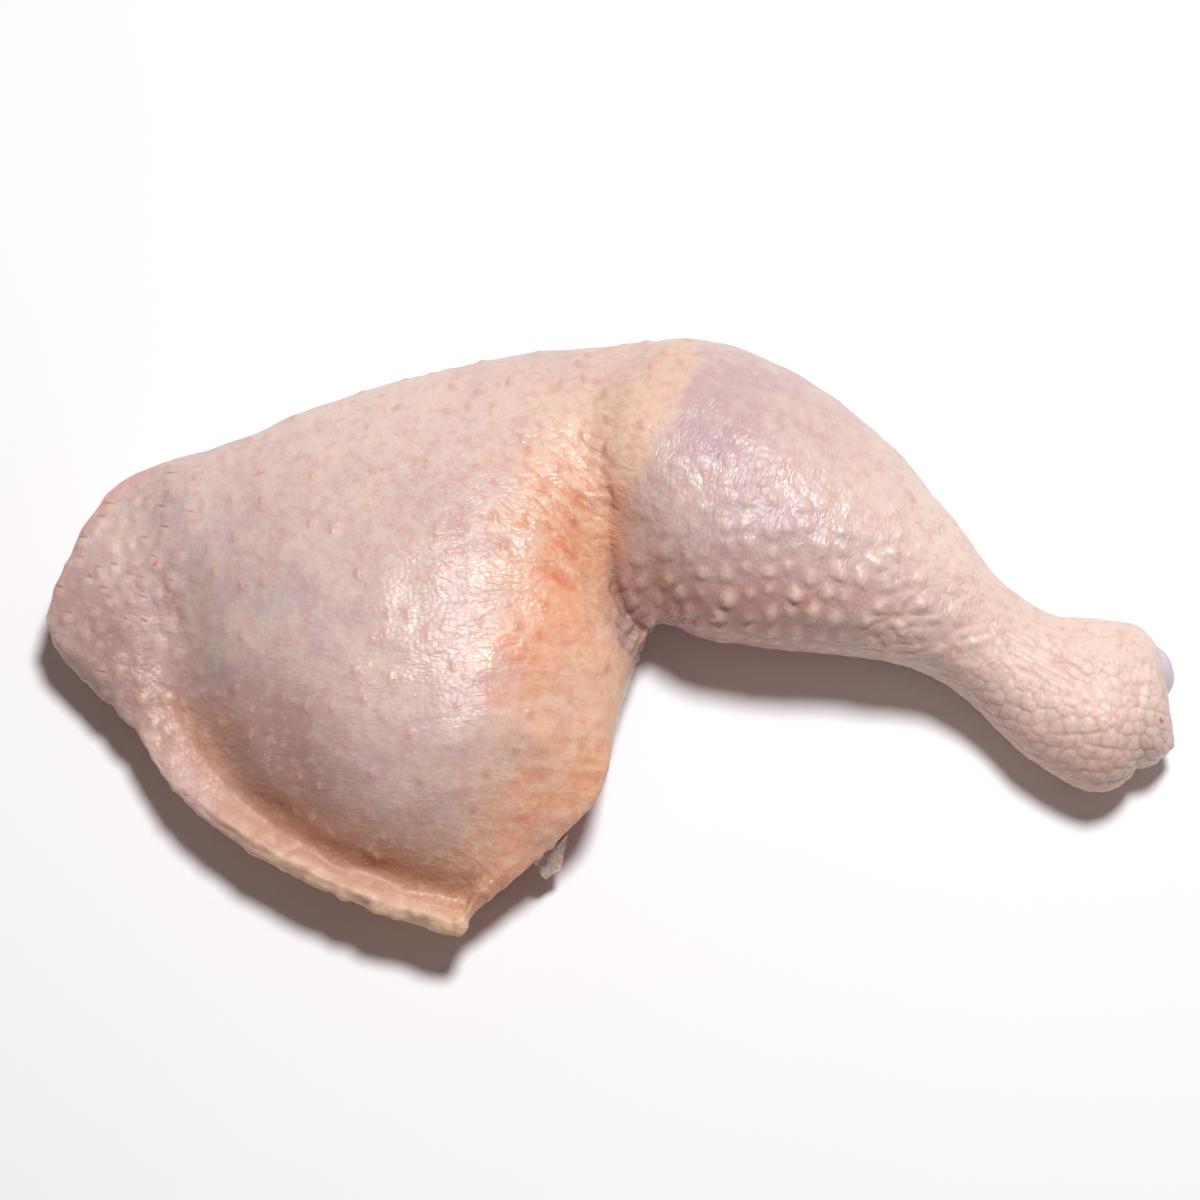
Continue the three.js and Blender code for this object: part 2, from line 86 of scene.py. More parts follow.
CROWNS, SOLES, BOWS = (np.array([s[k] for s in SECTIONS], float) for k in (2, 3, 4))
LAST = len(SECTIONS) - 1

# Between which sections the form changes: the flap's dome gives way to a plain arch, the raised rim ends, the
# drumstick's form comes in, and the sheet of skin closes into the drumstick's full round.
FLAP_ENDS, RIM_ENDS, DRUMSTICK_COMES, ROUND = (11.5, 14.5), (9.5, 12.5), (11.5, 15), (12.0, 12.9)
ARCH_POWER = dict(drumstick=0.95, hip=1.3)     # below 1 the skin rises fuller from its edges
WEB = dict(y=-10, sections=(14, 15))   # nearer than y the skin before the knee stays a thin web
MEAT_SECTIONS = (2.4, 11.8)
MEAT = dict(bulge=1.2, tuck=4, rim=1.5, end_width=0.7, end_height=0.6)

# The line in plan where the thigh's dome starts to rise, with the depth of the valley along it.
VALLEY = (
    (-108, 40, 0), (-102, 20, 0), (-97, 3, 0.2), (-92.5, -12, 0.5), (-87, -26, 1), (-75, -40.5, 1.9),
    (-59.6, -52.1, 2.9), (-42.2, -59.1, 3.2), (-27.1, -62.8, 2.6), (-8, -64.5, 0), (14, -63, 0),
)
VALLEY_WIDTH = 6
LINE_STEPS = 36              # straight steps that each such line is cut into
# It starts softly over this share of its run, less so where the valley is this deep, and flattens on top.
DOME = dict(foot=-5, run=38, soft=(0.55, 0.16), deep=3.2)
BELLY = dict(fall=1.1, below=1.2)   # how soon the drumstick's belly falls from its edges, and how far
DRUMSTICK_LEAN = 0.84        # below 1 the drumstick's crest lies nearer the viewer than its middle
# The clean cut from the flap's corner and the edge above it to the knee, with the share of its height that
# the dome has lost there. It has it all back at this distance inside the edge.
CUT_EDGE = (
    (-32, -80, 0.64), (-12.5, -60, 0.64), (2, -45.5, 0.6), (6, -29, 0.4), (10.5, -15, 0.1), (17, -6, 0),
)
CUT_FALL = 30
RIM = dict(lift=1.6, width=6, ripple=0.3, ripple_length=13, sections=(3.6, 6))
# How far the skin reaches past the meat in each run, with the sections between which the next one starts.
OVERHANG = dict(flap=9, cut_edge=2.2, below_knee=6, to_cut=(9.2, 10.6), to_knee=(11.2, 12), most=0.3)
CURL = dict(radius=11, rolled=3.2, turn=1.25, foot=0.8, sections=(1.5, 5), power=0.9)
# The knee crease: its line in plan and its depth along it.
CREASE = (
    (18, -11.5, 9), (11.5, -7, 12.5), (6.6, -3.6, 14), (3.6, 1, 13.5), (2.2, 8, 10.5), (1.4, 17, 5.5),
    (2.6, 27, 1.4), (4.6, 37, 0.3), (6.5, 47, 0),
)
CREASE_SLOPE = dict(thigh=6.2, drumstick=5.8, power=1.3)
# Low swells and hollows: middle, the two half widths, the turn from +X and the height.
SWELLS = (
    ((-40, 0), (32, 26), 0.2, 2),
    ((-104, 2), (12, 24), -0.3, 5),
    ((-93, 6), (7, 26), -0.3, 3),
    ((30, 40), (26, 16), -0.3, 1.5),
    ((101, -12), (9, 6), -0.4, 1.6),
    ((104, -29), (9, 6), -0.3, 1.2),
)
GRISTLE = dict(at=(113.6, -16.6, 11.5), size=(8.4, 9.6, 8.8), turn=-0.55, groove=0.14)
MEMBRANE = dict(sections=(11.05, 11.5), root=1.2, reach=-3.4, top=12.4, bottom=7.5, thickness=0.7)


# ---- where the skin's details lie ----

# The edge of the peach-coloured fat: up the thigh's cut edge, along the crease and over the knee, with how
# strong the colour is on its thigh side.
PEACH_EDGE = (
    (-34, -82, 0.7), (-12, -60, 0.9), (2, -45, 1), (7.5, -29, 1), (6.5, -16, 1), (3.4, -11, 1), (2.6, -4, 1),
    (3, 8, 1), (6.6, 17.6, 0.9), (10.9, 26.6, 0.75), (14.7, 33, 0.6), (18.5, 41, 0.5), (21, 60, 0.4),
)
# Areas of colour or relief: how many millimetres their edges wander, and then for each patch the middle in
# plan, the two half widths, the turn from +X and the strength.
AREAS = dict(
    pale=(3, (108, -20, 22, 26, 0, 0.95), (72, 6, 26, 26, -0.5, 0.85), (-50, 40, 40, 16, 0.2, 0.5)),
    cool=(2, (-80, -20, 9, 5, -0.3, 0.8), (-84, 12, 9, 14, 0, 0.4), (-66, -6, 12, 9, -0.6, 0.4)),
    lilac=(
        3, (22, 33, 16, 18, -0.4, 0.65), (24, 24, 9, 3.4, -0.35, 0.9), (38, 8, 18, 9, -0.3, 0.65),
        (60, -4, 12, 6, -0.3, 0.3),
    ),
    flush=(2, (10, -2, 6, 12, 0, 0.15), (30, -8, 30, 8, -0.05, 0.7)),
    orange=(
        3.5, (-8, -10, 9, 12, 0.3, 0.75), (-17, -21, 8, 9, 0, 0.9), (-6, 6, 9, 8, -0.4, 0.6),
        (-2, -40, 12, 10, 0.8, 0.8), (-22, -66, 12, 7, 0.9, 0.95), (2, 14, 4, 10, 0.2, 0.6),
        (-14, -50, 10, 8, 0.6, 0.95), (-8, 24, 12, 8, -0.3, 0.15),
    ),
    shade=(
        2, (-103, -12, 13, 15, 0.5, 0.8), (-94, -22, 9, 7, -0.7, 0.8), (-90, -1, 2.2, 5, 0.3, 0.5),
        (-113, 2, 5, 9, 0, 0.5), (-70, -33, 9, 11, 0.3, 0.6), (-11, -52, 7, 9, 0.6, 0.35),
        (-28, -70, 9, 5, 0.3, 0.35),
    ),
    tawny=(2, (-84, -30, 12, 9, -0.8, 0.8), (-30, -70, 12, 5, 0.1, 0.9), (102, -38, 22, 8, -0.3, 0.3)),
    pink=(1, (-106, 20, 9, 5, 0.85, 1), (-114, 6, 4, 8, 0, 0.7), (-96, 28, 9, 4, 0.3, 0.7)),
    # Cream over the knee above the crease: partly the fat's colour, partly painted light that lifts the shade
    # of the crease's hollow.
    waxy=(3, (3, 26, 7, 14, 0.1, 0.6), (-10, 36, 16, 10, 0, 0.3)),
    # The fold of skin under the knee: lumps, and a dark colour that is painted shade.
    shaded_fold=(1, (7, -8.5, 4.6, 7.5, 0.6, 1), (11, -7, 3, 3, 0, 0.8)),
    bumps=(2, (34, -5, 40, 11, -0.1, 1), (34, 13, 28, 12, -0.4, 0.5), (66, 4, 14, 14, -0.5, 0.5)),
    scales=(1.5, (106, -34, 24, 13, -0.1, 1), (85, -25, 11, 8, -0.6, 0.9), (110, -22, 9, 6, -0.3, 0.7)),
    rising=(2, (66, -8, 12, 8, 0.3, 1), (78, -14, 8, 7, 0.3, 0.8)),
    falling=(2, (93, -15, 13, 6, -0.5, 1), (84, -4, 8, 5, -0.3, 0.5)),
    knee_fan=(2, (-6, 11, 13, 15, 0.2, 0.9), (2, 34, 9, 14, 0, 0.2)),
    level=(3, (-8, -40, 16, 24, 0, 1), (-26, -24, 14, 18, 0, 1), (-55, -14, 22, 16, 0, 0.5)),
    standing=(2, (14, 16, 12, 12, 0, 1), (36, 14, 20, 12, -0.4, 0.9), (62, 2, 16, 12, -0.5, 0.7)),
    leather=(
        3, (-8, 15, 15, 15, 0.2, 0.9), (-28, 8, 22, 20, 0, 0.35), (0, 40, 18, 12, 0.1, 0.25),
        (-106, -8, 10, 15, 0.2, 0.2), (-84, -34, 12, 8, -0.8, 0.4), (-24, -60, 12, 8, 0.9, 0.4),
    ),
    sparkling=(3, (-36, 16, 26, 26, 0, 1), (-40, -22, 20, 10, 0.1, 0.7), (-10, 10, 14, 20, 0, 0.5)),
    dry=(3, (94, -14, 30, 22, -0.4, 0.55), (-104, 0, 14, 24, 0, 0.9), (-60, -58, 40, 9, -0.5, 0.8)),
)
# Short strokes: how far they wander, and then for each the start, the end, the half width and the strength.
STROKES = dict(
    folds=(
        1.2, (-11.4, 20.5, -0.5, 13, 1.6, 1), (-9.6, 13, -0.5, 9, 1.7, 1), (-12, 7.5, -3.3, 3.7, 1.8, 1),
        (-13.6, 0.5, -3.3, -4, 1.9, 0.9), (-1.2, 23, 3.1, 14.5, 1.3, 0.9), (-5, 30, 2, 24, 1.2, 0.5),
        (-10, 27, -1, 20, 1.2, 0.5), (-20, 23, -9, 17, 1.2, 0.4), (-19, 12, -11, 9, 1.2, 0.4),
    ),
    # Tucks beside the crease: pressed in, and coloured dark with painted shade.
    tucks=(
        0.8, (3, 3, 4.4, -3, 1.2, 0.8), (3.2, -2, 12, -8, 1.4, 1), (3, -6.5, 10.2, -11, 0.9, 0.8),
        (3.4, -10.5, 8.5, -14, 0.8, 0.7),
    ),
    veins=(
        1.2, (-92.6, 4.6, -91, -4.4, 1.3, 0.7), (-89.6, -1, -87.6, -8, 1, 0.55),
        (-78, 7, -66, 1, 0.8, 0.35), (-66, 1, -57, -8, 0.8, 0.35), (-47, -31, -40, -38, 0.8, 0.4),
        (-43, -50, -33, -52.5, 0.9, 0.5), (39, -3, 45, -8, 0.7, 0.4), (30, 27, 38, 20, 1.2, 0.4),
    ),
    blood=(
        0.4, (-9.5, 12, -1.5, 9, 2, 0.45), (-11, 7, -4, 3.5, 2.6, 0.65), (-12.5, 0, -4, -4, 3, 0.7),
        (-12.5, -7.5, -10, -8.5, 3.2, 0.7), (-14, -13, -11.5, -15.5, 3.2, 0.8),
        (-18.5, -20, -15, -23, 4, 0.45), (-74, 23.4, -70.5, 24.8, 1.2, 0.8), (-94.5, 5.2, -93.5, 7, 1, 0.9),
        (-95.4, -26, -94.8, -26.4, 0.9, 1), (117.2, -27.2, 117.6, -28.4, 0.8, 1),
        (39.6, -7.6, 42.5, -7.2, 0.7, 0.55), (42.5, -7.2, 46, -4.4, 0.8, 0.8),
        (-6.4, 13.5, -6, 13, 0.8, 0.7), (-1.2, 14, -0.6, 13.4, 0.8, 0.7), (-2.6, -9.6, -1.8, -10, 0.8, 0.7),
    ),
)
KNEE = (12, -4)              # the wrinkles before the knee fan out from here
# How high each pattern of the skin's relief stands, in millimetres. Below 0 it is pressed in.
HEIGHTS = dict(
    hills=0.4, humps=0.26, pimples=0.38, plates=0.12, domes=0.6, folds=-0.65, level=0.2, cut=0.25,
    standing=0.16, knobs=0.9, tucks=-0.9, rim_grain=0.3, rim_humps=0.35, rim_lines=0.4, valley=0.5,
    ragged=0.45, frayed=0.25,
)
PEARLS = dict(at_edge=0.4, inside=1.15)   # the same for pearls of fat at the skin's edges and away from them
# Feather follicles on the thigh and on the drumstick, and the hock's scales, by their spacing.
FOLLICLES = dict(thigh=7, drumstick=4.9)
SCALE_SPACING = 2.9


# ---- curves and small helpers ----

def mix(a, b, t):
    """The value a share t of the way from a to b."""
    return a + (b - a) * t


def smooth(low, high, x):
    """0 below low, 1 above high, and 3t^2 - 2t^3 between them."""
    t = np.clip((x - low) / (high - low), 0, 1)
    return t * t * (3 - 2 * t)


def bump(x, width):
    """A bell of height 1: exp(-(x / width)^2)."""
    return np.exp(-(x / width) ** 2)


def centripetal(points, u):
    """The centripetal Catmull-Rom curve through points, at section numbers u.

    Between points 1 and 2 it is the cubic that leaves each with the slope that the three points round it
    give, when the steps are timed by the square root of their lengths.
    """
    points = np.vstack([2 * points[0] - points[1], points, 2 * points[-1] - points[-2]])
    u = np.clip(np.atleast_1d(u).astype(float), 0, len(points) - 3)
    i = np.minimum(u.astype(int), len(points) - 4)
    t = (u - i)[:, None]
    p0, p1, p2, p3 = (points[i + k] for k in range(4))
    d0, d1, d2 = (np.sum((b - a) ** 2, 1)[:, None] ** 0.25 for a, b in ((p0, p1), (p1, p2), (p2, p3)))
    out = ((p1 - p0) / d0 - (p2 - p0) / (d0 + d1) + (p2 - p1) / d1) * d1
    into = ((p2 - p1) / d1 - (p3 - p1) / (d1 + d2) + (p3 - p2) / d2) * d1
    return p1 + t * (out + t * (3 * (p2 - p1) - 2 * out - into + t * (2 * (p1 - p2) + out + into)))


def along(values, u):
    """A value given at every section, eased between them as a uniform Catmull-Rom curve."""
    i = np.minimum(u.astype(int), LAST - 1)
    t = u - i
    a, b, c, d = (values[np.clip(i + k, 0, LAST)] for k in (-1, 0, 1, 2))
    return b + 0.5 * t * (c - a + t * (2 * a - 5 * b + 4 * c - d + t * (3 * (b - c) + d - a)))


def traced(points):
    """A line in plan with a depth at each point, cut into short straight steps."""
    points = np.array(points, float)
    return centripetal(points, np.linspace(0, len(points) - 1, LINE_STEPS + 1))


def beside(line, x, y):
    """How far each point of the plan lies left of a traced line, and the line's depth nearest to it."""
    best = np.full(np.shape(x), np.inf)
    gap, depth = np.zeros_like(best), np.zeros_like(best)
    for p, q in zip(line[:-1], line[1:]):
        ex, ey = q[0] - p[0], q[1] - p[1]
        t = np.clip(((x - p[0]) * ex + (y - p[1]) * ey) / (ex * ex + ey * ey), 0, 1)
        dx, dy = x - p[0] - t * ex, y - p[1] - t * ey
        distance = np.hypot(dx, dy)
        nearer = distance < best
        best = np.where(nearer, distance, best)
        gap = np.where(nearer, distance * np.where(ex * dy - ey * dx < 0, -1, 1), gap)
        depth = np.where(nearer, mix(p[2], q[2], t), depth)
    return gap, depth


VALLEY_LINE, CUT_LINE, CREASE_LINE, PEACH_LINE = map(traced, (VALLEY, CUT_EDGE, CREASE, PEACH_EDGE))


def turned(x, y, turn):
    """A place on axes turned by an angle from +X."""
    return x * math.cos(turn) + y * math.sin(turn), y * math.cos(turn) - x * math.sin(turn)


def oval(x, y, at, size, turn):
    """A turned two-way bell: 1 in the middle, 1/e at the half widths."""
    a, b = turned(x - at[0], y - at[1], turn)
    return np.exp(-(a / size[0]) ** 2 - (b / size[1]) ** 2)


def swell(x, y):
    """Height that the named swells and hollows add: a bell for each."""
    return sum(lift * oval(x, y, at, size, turn) for at, size, turn, lift in SWELLS)


def crease_depth(x, y):
    """Depth of the knee crease: exp(-(gap / slope)^power) of the depth along its line."""
    gap, depth = beside(CREASE_LINE, x, y)
    slope = np.where(gap > 0, CREASE_SLOPE["thigh"], CREASE_SLOPE["drumstick"])
    return depth * np.exp(-(np.abs(gap) / slope) ** CREASE_SLOPE["power"])


def dome_profile(gap, depth):
    """Share of the dome's height at a gap inside the valley line: a soft start times a falling slope."""
    t = np.clip((gap - DOME["foot"]) / DOME["run"], 0, 1)
    soft = mix(*DOME["soft"], smooth(0, DOME["deep"], depth))
    return (1 - (1 - t) ** 2) * smooth(0, soft, t)


# ---- the form of the leg ----

class Sections:
    """The sections at numbers u, as columns, so that a row of samples across makes a grid."""

    def __init__(self, u):
        u = np.atleast_1d(np.asarray(u, float))
        column = lambda values: values[:, None]
        self.u = column(u)
        near, far = centripetal(NEAR_ENDS, u), centripetal(FAR_ENDS, u)
        length = np.maximum(np.hypot(*(far - near)[:, :2].T), 1e-6)
        self.near, self.length = near, column(length)
        self.near_z, self.far_z = column(near[:, 2]), column(far[:, 2])
        self.across = (far[:, :2] - near[:, :2]) / self.length
        self.bow = column(along(BOWS, u))
        self.crown = column(along(CROWNS, u))
        self.sole = column(np.maximum(0, along(SOLES, u)))
        self.small = np.minimum(1, self.length / 25)
        self.flap = 1 - smooth(*FLAP_ENDS, self.u)
        self.apron = 1 - smooth(*RIM_ENDS, self.u)
        self.drumstick = smooth(*DRUMSTICK_COMES, self.u)
        self.round = smooth(*ROUND, self.u)
        self.curl = smooth(*CURL["sections"], self.u)
        self.rim = self.apron * smooth(*RIM["sections"], self.u)
        self.web = np.maximum(0, WEB["y"] - column(near[:, 1])) * (1 - smooth(*WEB["sections"], self.u))
        self.thickness = SKIN * np.sqrt(self.small)

    def place(self, s):
        """Plan position at a distance s along each section's line, which bows in a half sine."""
        x = self.near[:, :1] + self.across[:, :1] * s - self.bow * np.sin(np.pi * s / self.length)
        return x, self.near[:, 1:2] + self.across[:, 1:2] * s

    def over(self, turn):
        """The top of the skin: distance along the line and height, for turns from 0, near, to pi, far."""
        w = (1 - np.cos(turn)) / 2
        leaning = w ** mix(1, DRUMSTICK_LEAN, self.drumstick)
        arch = 2 * np.sqrt(leaning * (1 - leaning))
        s = w * self.length
        x, y = self.place(s)
        base = mix(self.near_z, self.far_z, w)
        valley, depth = beside(VALLEY_LINE, x, y)
        cut, lost = beside(CUT_LINE, x, y)
        dome = dome_profile(valley, depth) * (1 - lost * (1 - smooth(0, CUT_FALL, cut)))
        full = ARCH_POWER["drumstick"]
        far_power = mix(ARCH_POWER["hip"], full, np.maximum(self.curl, self.drumstick))
        far_side = arch ** far_power * mix(1, dome, self.flap)
        side = np.where(leaning < 0.5, mix(arch ** full, dome, self.flap), far_side)
        rise = (self.crown - (self.near_z + self.far_z) / 2) * side
        dip = self.apron * depth * bump(valley, VALLEY_WIDTH) * smooth(0, 6, s)
        ripple = 1 + RIM["ripple"] * np.sin(2 * np.pi * x / RIM["ripple_length"])
        rim = self.rim * RIM["lift"] * ripple * smooth(0, 2, s) * bump(s, RIM["width"])
        inside = smooth(0, 0.7, arch)
        return s, base + rise + rim - dip + inside * (swell(x, y) - crease_depth(x, y))

    def curled(self, turn):
        """The far side of the thigh's skin, from the far edge down and under in a quarter ellipse."""
        reach = mix(CURL["rolled"], CURL["radius"], self.curl) * self.small
        drop = mix(CURL["rolled"] * self.small, self.far_z - CURL["foot"], self.curl)
        return self.length - reach * (1 - np.cos(turn)), self.far_z - drop * np.sin(turn) ** CURL["power"]

    def belly(self, turn):
        """The underside of the full round, from the far edge to the near one: a belly, then a thin web."""
        w = (1 + np.cos(turn)) / 2
        s = w * self.length
        base = mix(self.near_z, self.far_z, w)
        share = np.clip((s - self.web) / (self.length - self.web), 0, 1)
        arch = 2 * np.sqrt(share * (1 - share))
        belly = np.maximum(self.sole, base - (base + BELLY["below"] - self.sole) * arch ** BELLY["fall"])
        skin = self.over(np.pi - turn)[1] - self.thickness * smooth(0, 0.3, np.sin(turn))
        return s, np.minimum(belly, skin)

    def overhang(self):
        """How far the skin reaches past the meat: widest over the flap, least at the clean cut."""
        reach = mix(OVERHANG["flap"], OVERHANG["cut_edge"], smooth(*OVERHANG["to_cut"], self.u))
        reach = mix(reach, OVERHANG["below_knee"], smooth(*OVERHANG["to_knee"], self.u))
        return np.minimum(reach, OVERHANG["most"] * self.length)

    def inner(self, clearance, curl_steps, steps):
        """The inner side of the thigh's sheet of skin, from the foot of the curl over the dome to where the
        meat ends: the outer side moved square to itself by the thickness and a clearance."""
        rolled = mix(0.35, 1, self.curl)
        turns = CURL["turn"] * np.arange(curl_steps, 0, -1) / curl_steps
        s_curl, z_curl = below(self.curled, turns[None, :], self.thickness * rolled + clearance)
        share = np.arange(steps, -1, -1)[None, :] / steps
        first = np.arccos(1 - 2 * self.overhang() / self.length)
        depth = self.thickness * mix(1, rolled, smooth(0.8, 1, share)) + clearance
        s_over, z_over = below(self.over, mix(first, np.pi - 0.12, share), depth)
        return np.hstack([s_curl, s_over]), np.hstack([z_curl, z_over])


def below(curve, turn, depth):
    """The points at a depth below a curve of the section, square to the curve."""
    step = 1e-3
    (s0, z0), (s1, z1) = curve(turn - step), curve(turn + step)
    size = np.hypot(s1 - s0, z1 - z0) + 1e-12
    s, z = curve(turn)
    return s + depth * (z1 - z0) / size, z - depth * (s1 - s0) / size


# The rings lie closer round one section at the knee, and from the second of two sections on at the hock.
FINER = dict(knee=14.2, reach=1.6, at_knee=0.4, hock=(19.5, 21), at_hock=0.5)


def stations(low, high, count):
    """Section numbers for a run of rings, so that each step along the wider edge is about as long, and
    shorter round the knee and over the hock."""
    fine = np.linspace(low, high, 4001)
    edges = [np.diff(centripetal(ends, fine), axis=0) for ends in (NEAR_ENDS, FAR_ENDS)]
    steps = [np.linalg.norm(edge, axis=1) for edge in edges]
    knee, hock = bump(fine[1:] - FINER["knee"], FINER["reach"]), smooth(*FINER["hock"], fine[1:])
    finer = 1 + FINER["at_knee"] * knee + FINER["at_hock"] * hock
    travelled = np.concatenate([[0], np.cumsum(np.maximum(*steps) * finer)])
    return np.interp(np.linspace(0, travelled[-1], count), travelled, fine)


# ---- patterns ----

def chance(i, j, seed):
    """An even random number from 0 to 1 for each whole-number place (i, j) of a lattice."""
    n = (i.astype(np.int64) * 374761393 + j.astype(np.int64) * 668265263 + seed * 144269504) & 0xffffffff
    n = ((n ^ (n >> 13)) * 1274126177) & 0xffffffff
    n = ((n ^ (n >> 16)) * 2246822519) & 0xffffffff
    return (n ^ (n >> 15)) / 4294967296.0


def noise(x, y, seed):
    """Gradient noise, about -1 to 1, with one hill or hollow for each unit of x and y."""
    i, j = np.floor(x), np.floor(y)
    fx, fy = x - i, y - j
    ease_x, ease_y = (f ** 3 * (f * (f * 6 - 15) + 10) for f in (fx, fy))
    corners = []
    for dj in (0, 1):
        for di in (0, 1):
            angle = 2 * np.pi * chance(i + di, j + dj, seed)
            corners.append(np.cos(angle) * (fx - di) + np.sin(angle) * (fy - dj))
    return 1.5 * mix(mix(corners[0], corners[1], ease_x), mix(corners[2], corners[3], ease_x), ease_y)


def cells(x, y, seed, jitter):
    """Cells round one scattered point in each unit square, odd rows half a step along: the distance to the
    nearest point, the distance to the next, the place from the nearest point, and a random number that each
    cell keeps."""
    first = np.full(np.shape(x), 9.0)
    second, own = first.copy(), np.zeros_like(first)
    dx, dy = first.copy(), first.copy()
    j0 = np.floor(y)
    for dj in (-1, 0, 1):
        j = j0 + dj
        shift = 0.5 * (j % 2)
        i0 = np.floor(x - shift)
        for di in (-1, 0, 1):
            i = i0 + di
            px = i + shift + 0.5 + jitter * (chance(i, j, seed) - 0.5)
            py = j + 0.5 + jitter * (chance(i, j, seed + 7) - 0.5)
            distance = np.hypot(x - px, y - py)
            nearer = distance < first
            second = np.where(nearer, first, np.minimum(second, distance))
            own = np.where(nearer, chance(i, j, seed + 13), own)
            dx, dy = np.where(nearer, x - px, dx), np.where(nearer, y - py, dy)
            first = np.where(nearer, distance, first)
    return first, second, dx, dy, own


def streaks(x, y, turn, long, wide, seed):
    """Noise drawn out into streaks of a length and a width, at an angle from +X."""
    a, b = turned(x, y, turn)
    return noise(a / long, b / wide, seed)


def patches(x, y, wander, *spots):
    """How far each point lies in soft patches, 0 to 1: what is left is the product of what each leaves."""
    x, y = x + wander * noise(x / 5, y / 5, 61), y + wander * noise(x / 5, y / 5, 62)
    left = np.ones_like(x)
    for px, py, long, wide, turn, strength in spots:
        left = left * (1 - strength * oval(x, y, (px, py), (long, wide), turn))
    return 1 - left


def strokes(x, y, wander, *lines):
    """The deepest of some short strokes: for each a cone across a straight line that tapers to its ends."""
    x, y = x + wander * noise(x / 3, y / 3, 63), y + wander * noise(x / 3, y / 3, 64)
    deepest = np.zeros_like(x)
    for x0, y0, x1, y1, width, strength in lines:
        ex, ey = x1 - x0, y1 - y0
        t = np.clip(((x - x0) * ex + (y - y0) * ey) / (ex * ex + ey * ey), 0, 1)
        gap = np.hypot(x - x0 - t * ex, y - y0 - t * ey)
        taper = 0.3 + 1.4 * np.sqrt(t * (1 - t))
        deepest = np.maximum(deepest, strength * taper * np.maximum(0, 1 - gap / (width * taper)))
    return deepest


# ---- meshes ----

def with_relief(rings, relief):
    """Closed rings of points set out along their normals by a relief, but not below the table. A normal is
    the cross product of the grid's two slopes."""
    along_rings = np.roll(rings, -1, axis=1) - np.roll(rings, 1, axis=1)
    normal = np.cross(np.gradient(rings, axis=0), along_rings)
    normal = normal / (np.linalg.norm(normal, axis=2, keepdims=True) + 1e-12)
    rings = rings + relief[..., None] * normal
    rings[..., 2] = np.maximum(rings[..., 2], 0)
    return rings


def tube_faces(rings, count):
    """Faces of a closed tube of rings, with a fan from a middle point at each end."""
    row, last = count * np.arange(rings - 1)[:, None], count * (rings - 1)
    j = np.arange(count)
    k = (j + 1) % count
    quads = np.stack([row + j, row + count + j, row + count + k, row + k], axis=-1).reshape(-1, 4)
    start = np.stack([0 * j + rings * count, j, k], axis=-1)
    end = np.stack([0 * j + rings * count + 1, last + k, last + j], axis=-1)
    return quads.tolist() + start.tolist() + end.tolist()


def with_ends(values):
    """Values at the points of some rings, in one row, and then the means of the first and last ring."""
    flat = values.reshape(-1, *values.shape[2:])
    return np.concatenate([flat, [values[0].mean(0), values[-1].mean(0)]])


def place_in_scene(name, data):
    """A new object of the scene."""
    new = bpy.data.objects.new(name, data)
    bpy.context.scene.collection.objects.link(new)
    return new


def closed_rings(name, rings, material, masks=()):
    """A piece from closed rings of points in leg millimetres, with a fan at each end, smooth faces, and a
    number or a vector for each point in each named mask."""
    points = (with_ends(rings) - np.array([*PLAN_MIDDLE, 0])) / 1000
    mesh = bpy.data.meshes.new(name)
    mesh.from_pydata(points.tolist(), [], tube_faces(*rings.shape[:2]))
    mesh.polygons.foreach_set("use_smooth", np.ones(len(mesh.polygons), bool))
    for mask, values in dict(masks).items():
        values = with_ends(values)
        kind, field = ("FLOAT", "value") if values.ndim == 1 else ("FLOAT_VECTOR", "vector")
        attribute = mesh.attributes.new(mask, kind, "POINT")
        attribute.data.foreach_set(field, values.astype(np.float32).ravel())
    mesh.materials.append(material)
    mesh.update()
    return place_in_scene(name, mesh)


# ---- the skin's surface ----

RINGS = 458                                         # rings of skin from the thigh's end to the hock's
OVER, CURLED, INNER, LIP, WALL = 174, 8, 20, 4, 2   # steps of one ring, from the near edge over


def even_turns(c, count):
    """Turns from the near edge to the far one, spaced evenly along each section's own curve."""
    fine = np.linspace(0, np.pi, 361)
    s, z = c.over(np.broadcast_to(fine, (len(c.u), len(fine))))
    arc = np.cumsum(np.hypot(np.diff(s, axis=1), np.diff(z, axis=1)), axis=1)
    arc = np.hstack([np.zeros((len(arc), 1)), arc])
    share = np.linspace(0, 1, count + 1)
    return np.array([np.interp(share * row[-1], row, fine) for row in arc])


def skin_rings(c):
    """Closed rings of skin: over the top, down the far curl, back along the inner side and round the cut
    edge. Past the knee the way back becomes the drumstick's belly."""
    s_over, z_over = c.over(even_turns(c, OVER))
    s_curl, z_curl = c.curled(CURL["turn"] * np.arange(1, CURLED + 1)[None, :] / CURLED)
    s_in, z_in = c.inner(0, CURLED, INNER)
    foot = z_over[:, :1] - SKIN_EDGE * c.small
    lip = np.arange(1, LIP + 1)[None, :] / LIP
    s_lip, z_lip = s_in[:, -1:] * (1 - lip), mix(z_in[:, -1:], foot, lip)
    wall = np.arange(1, WALL + 1)[None, :] / (WALL + 1)
    s_wall = -0.4 * np.sin(np.pi * wall) * c.small
    z_wall = mix(foot, z_over[:, :1], wall)
    parts = [(s_curl, z_curl), (s_in, z_in), (s_lip, z_lip), (s_wall, z_wall)]
    s_sheet, z_sheet = (np.hstack([np.broadcast_to(p[k], (len(c.u), p[1].shape[1])) for p in parts])
                        for k in (0, 1))
    count = s_sheet.shape[1]
    s_belly, z_belly = c.belly(np.pi * np.arange(1, count + 1)[None, :] / (count + 1))
    s = np.hstack([s_over, mix(s_sheet, s_belly, c.round)])
    z = np.hstack([z_over, mix(z_sheet, z_belly, c.round)])
    x, y = c.place(s)
    return np.stack([x, y, z], axis=-1)


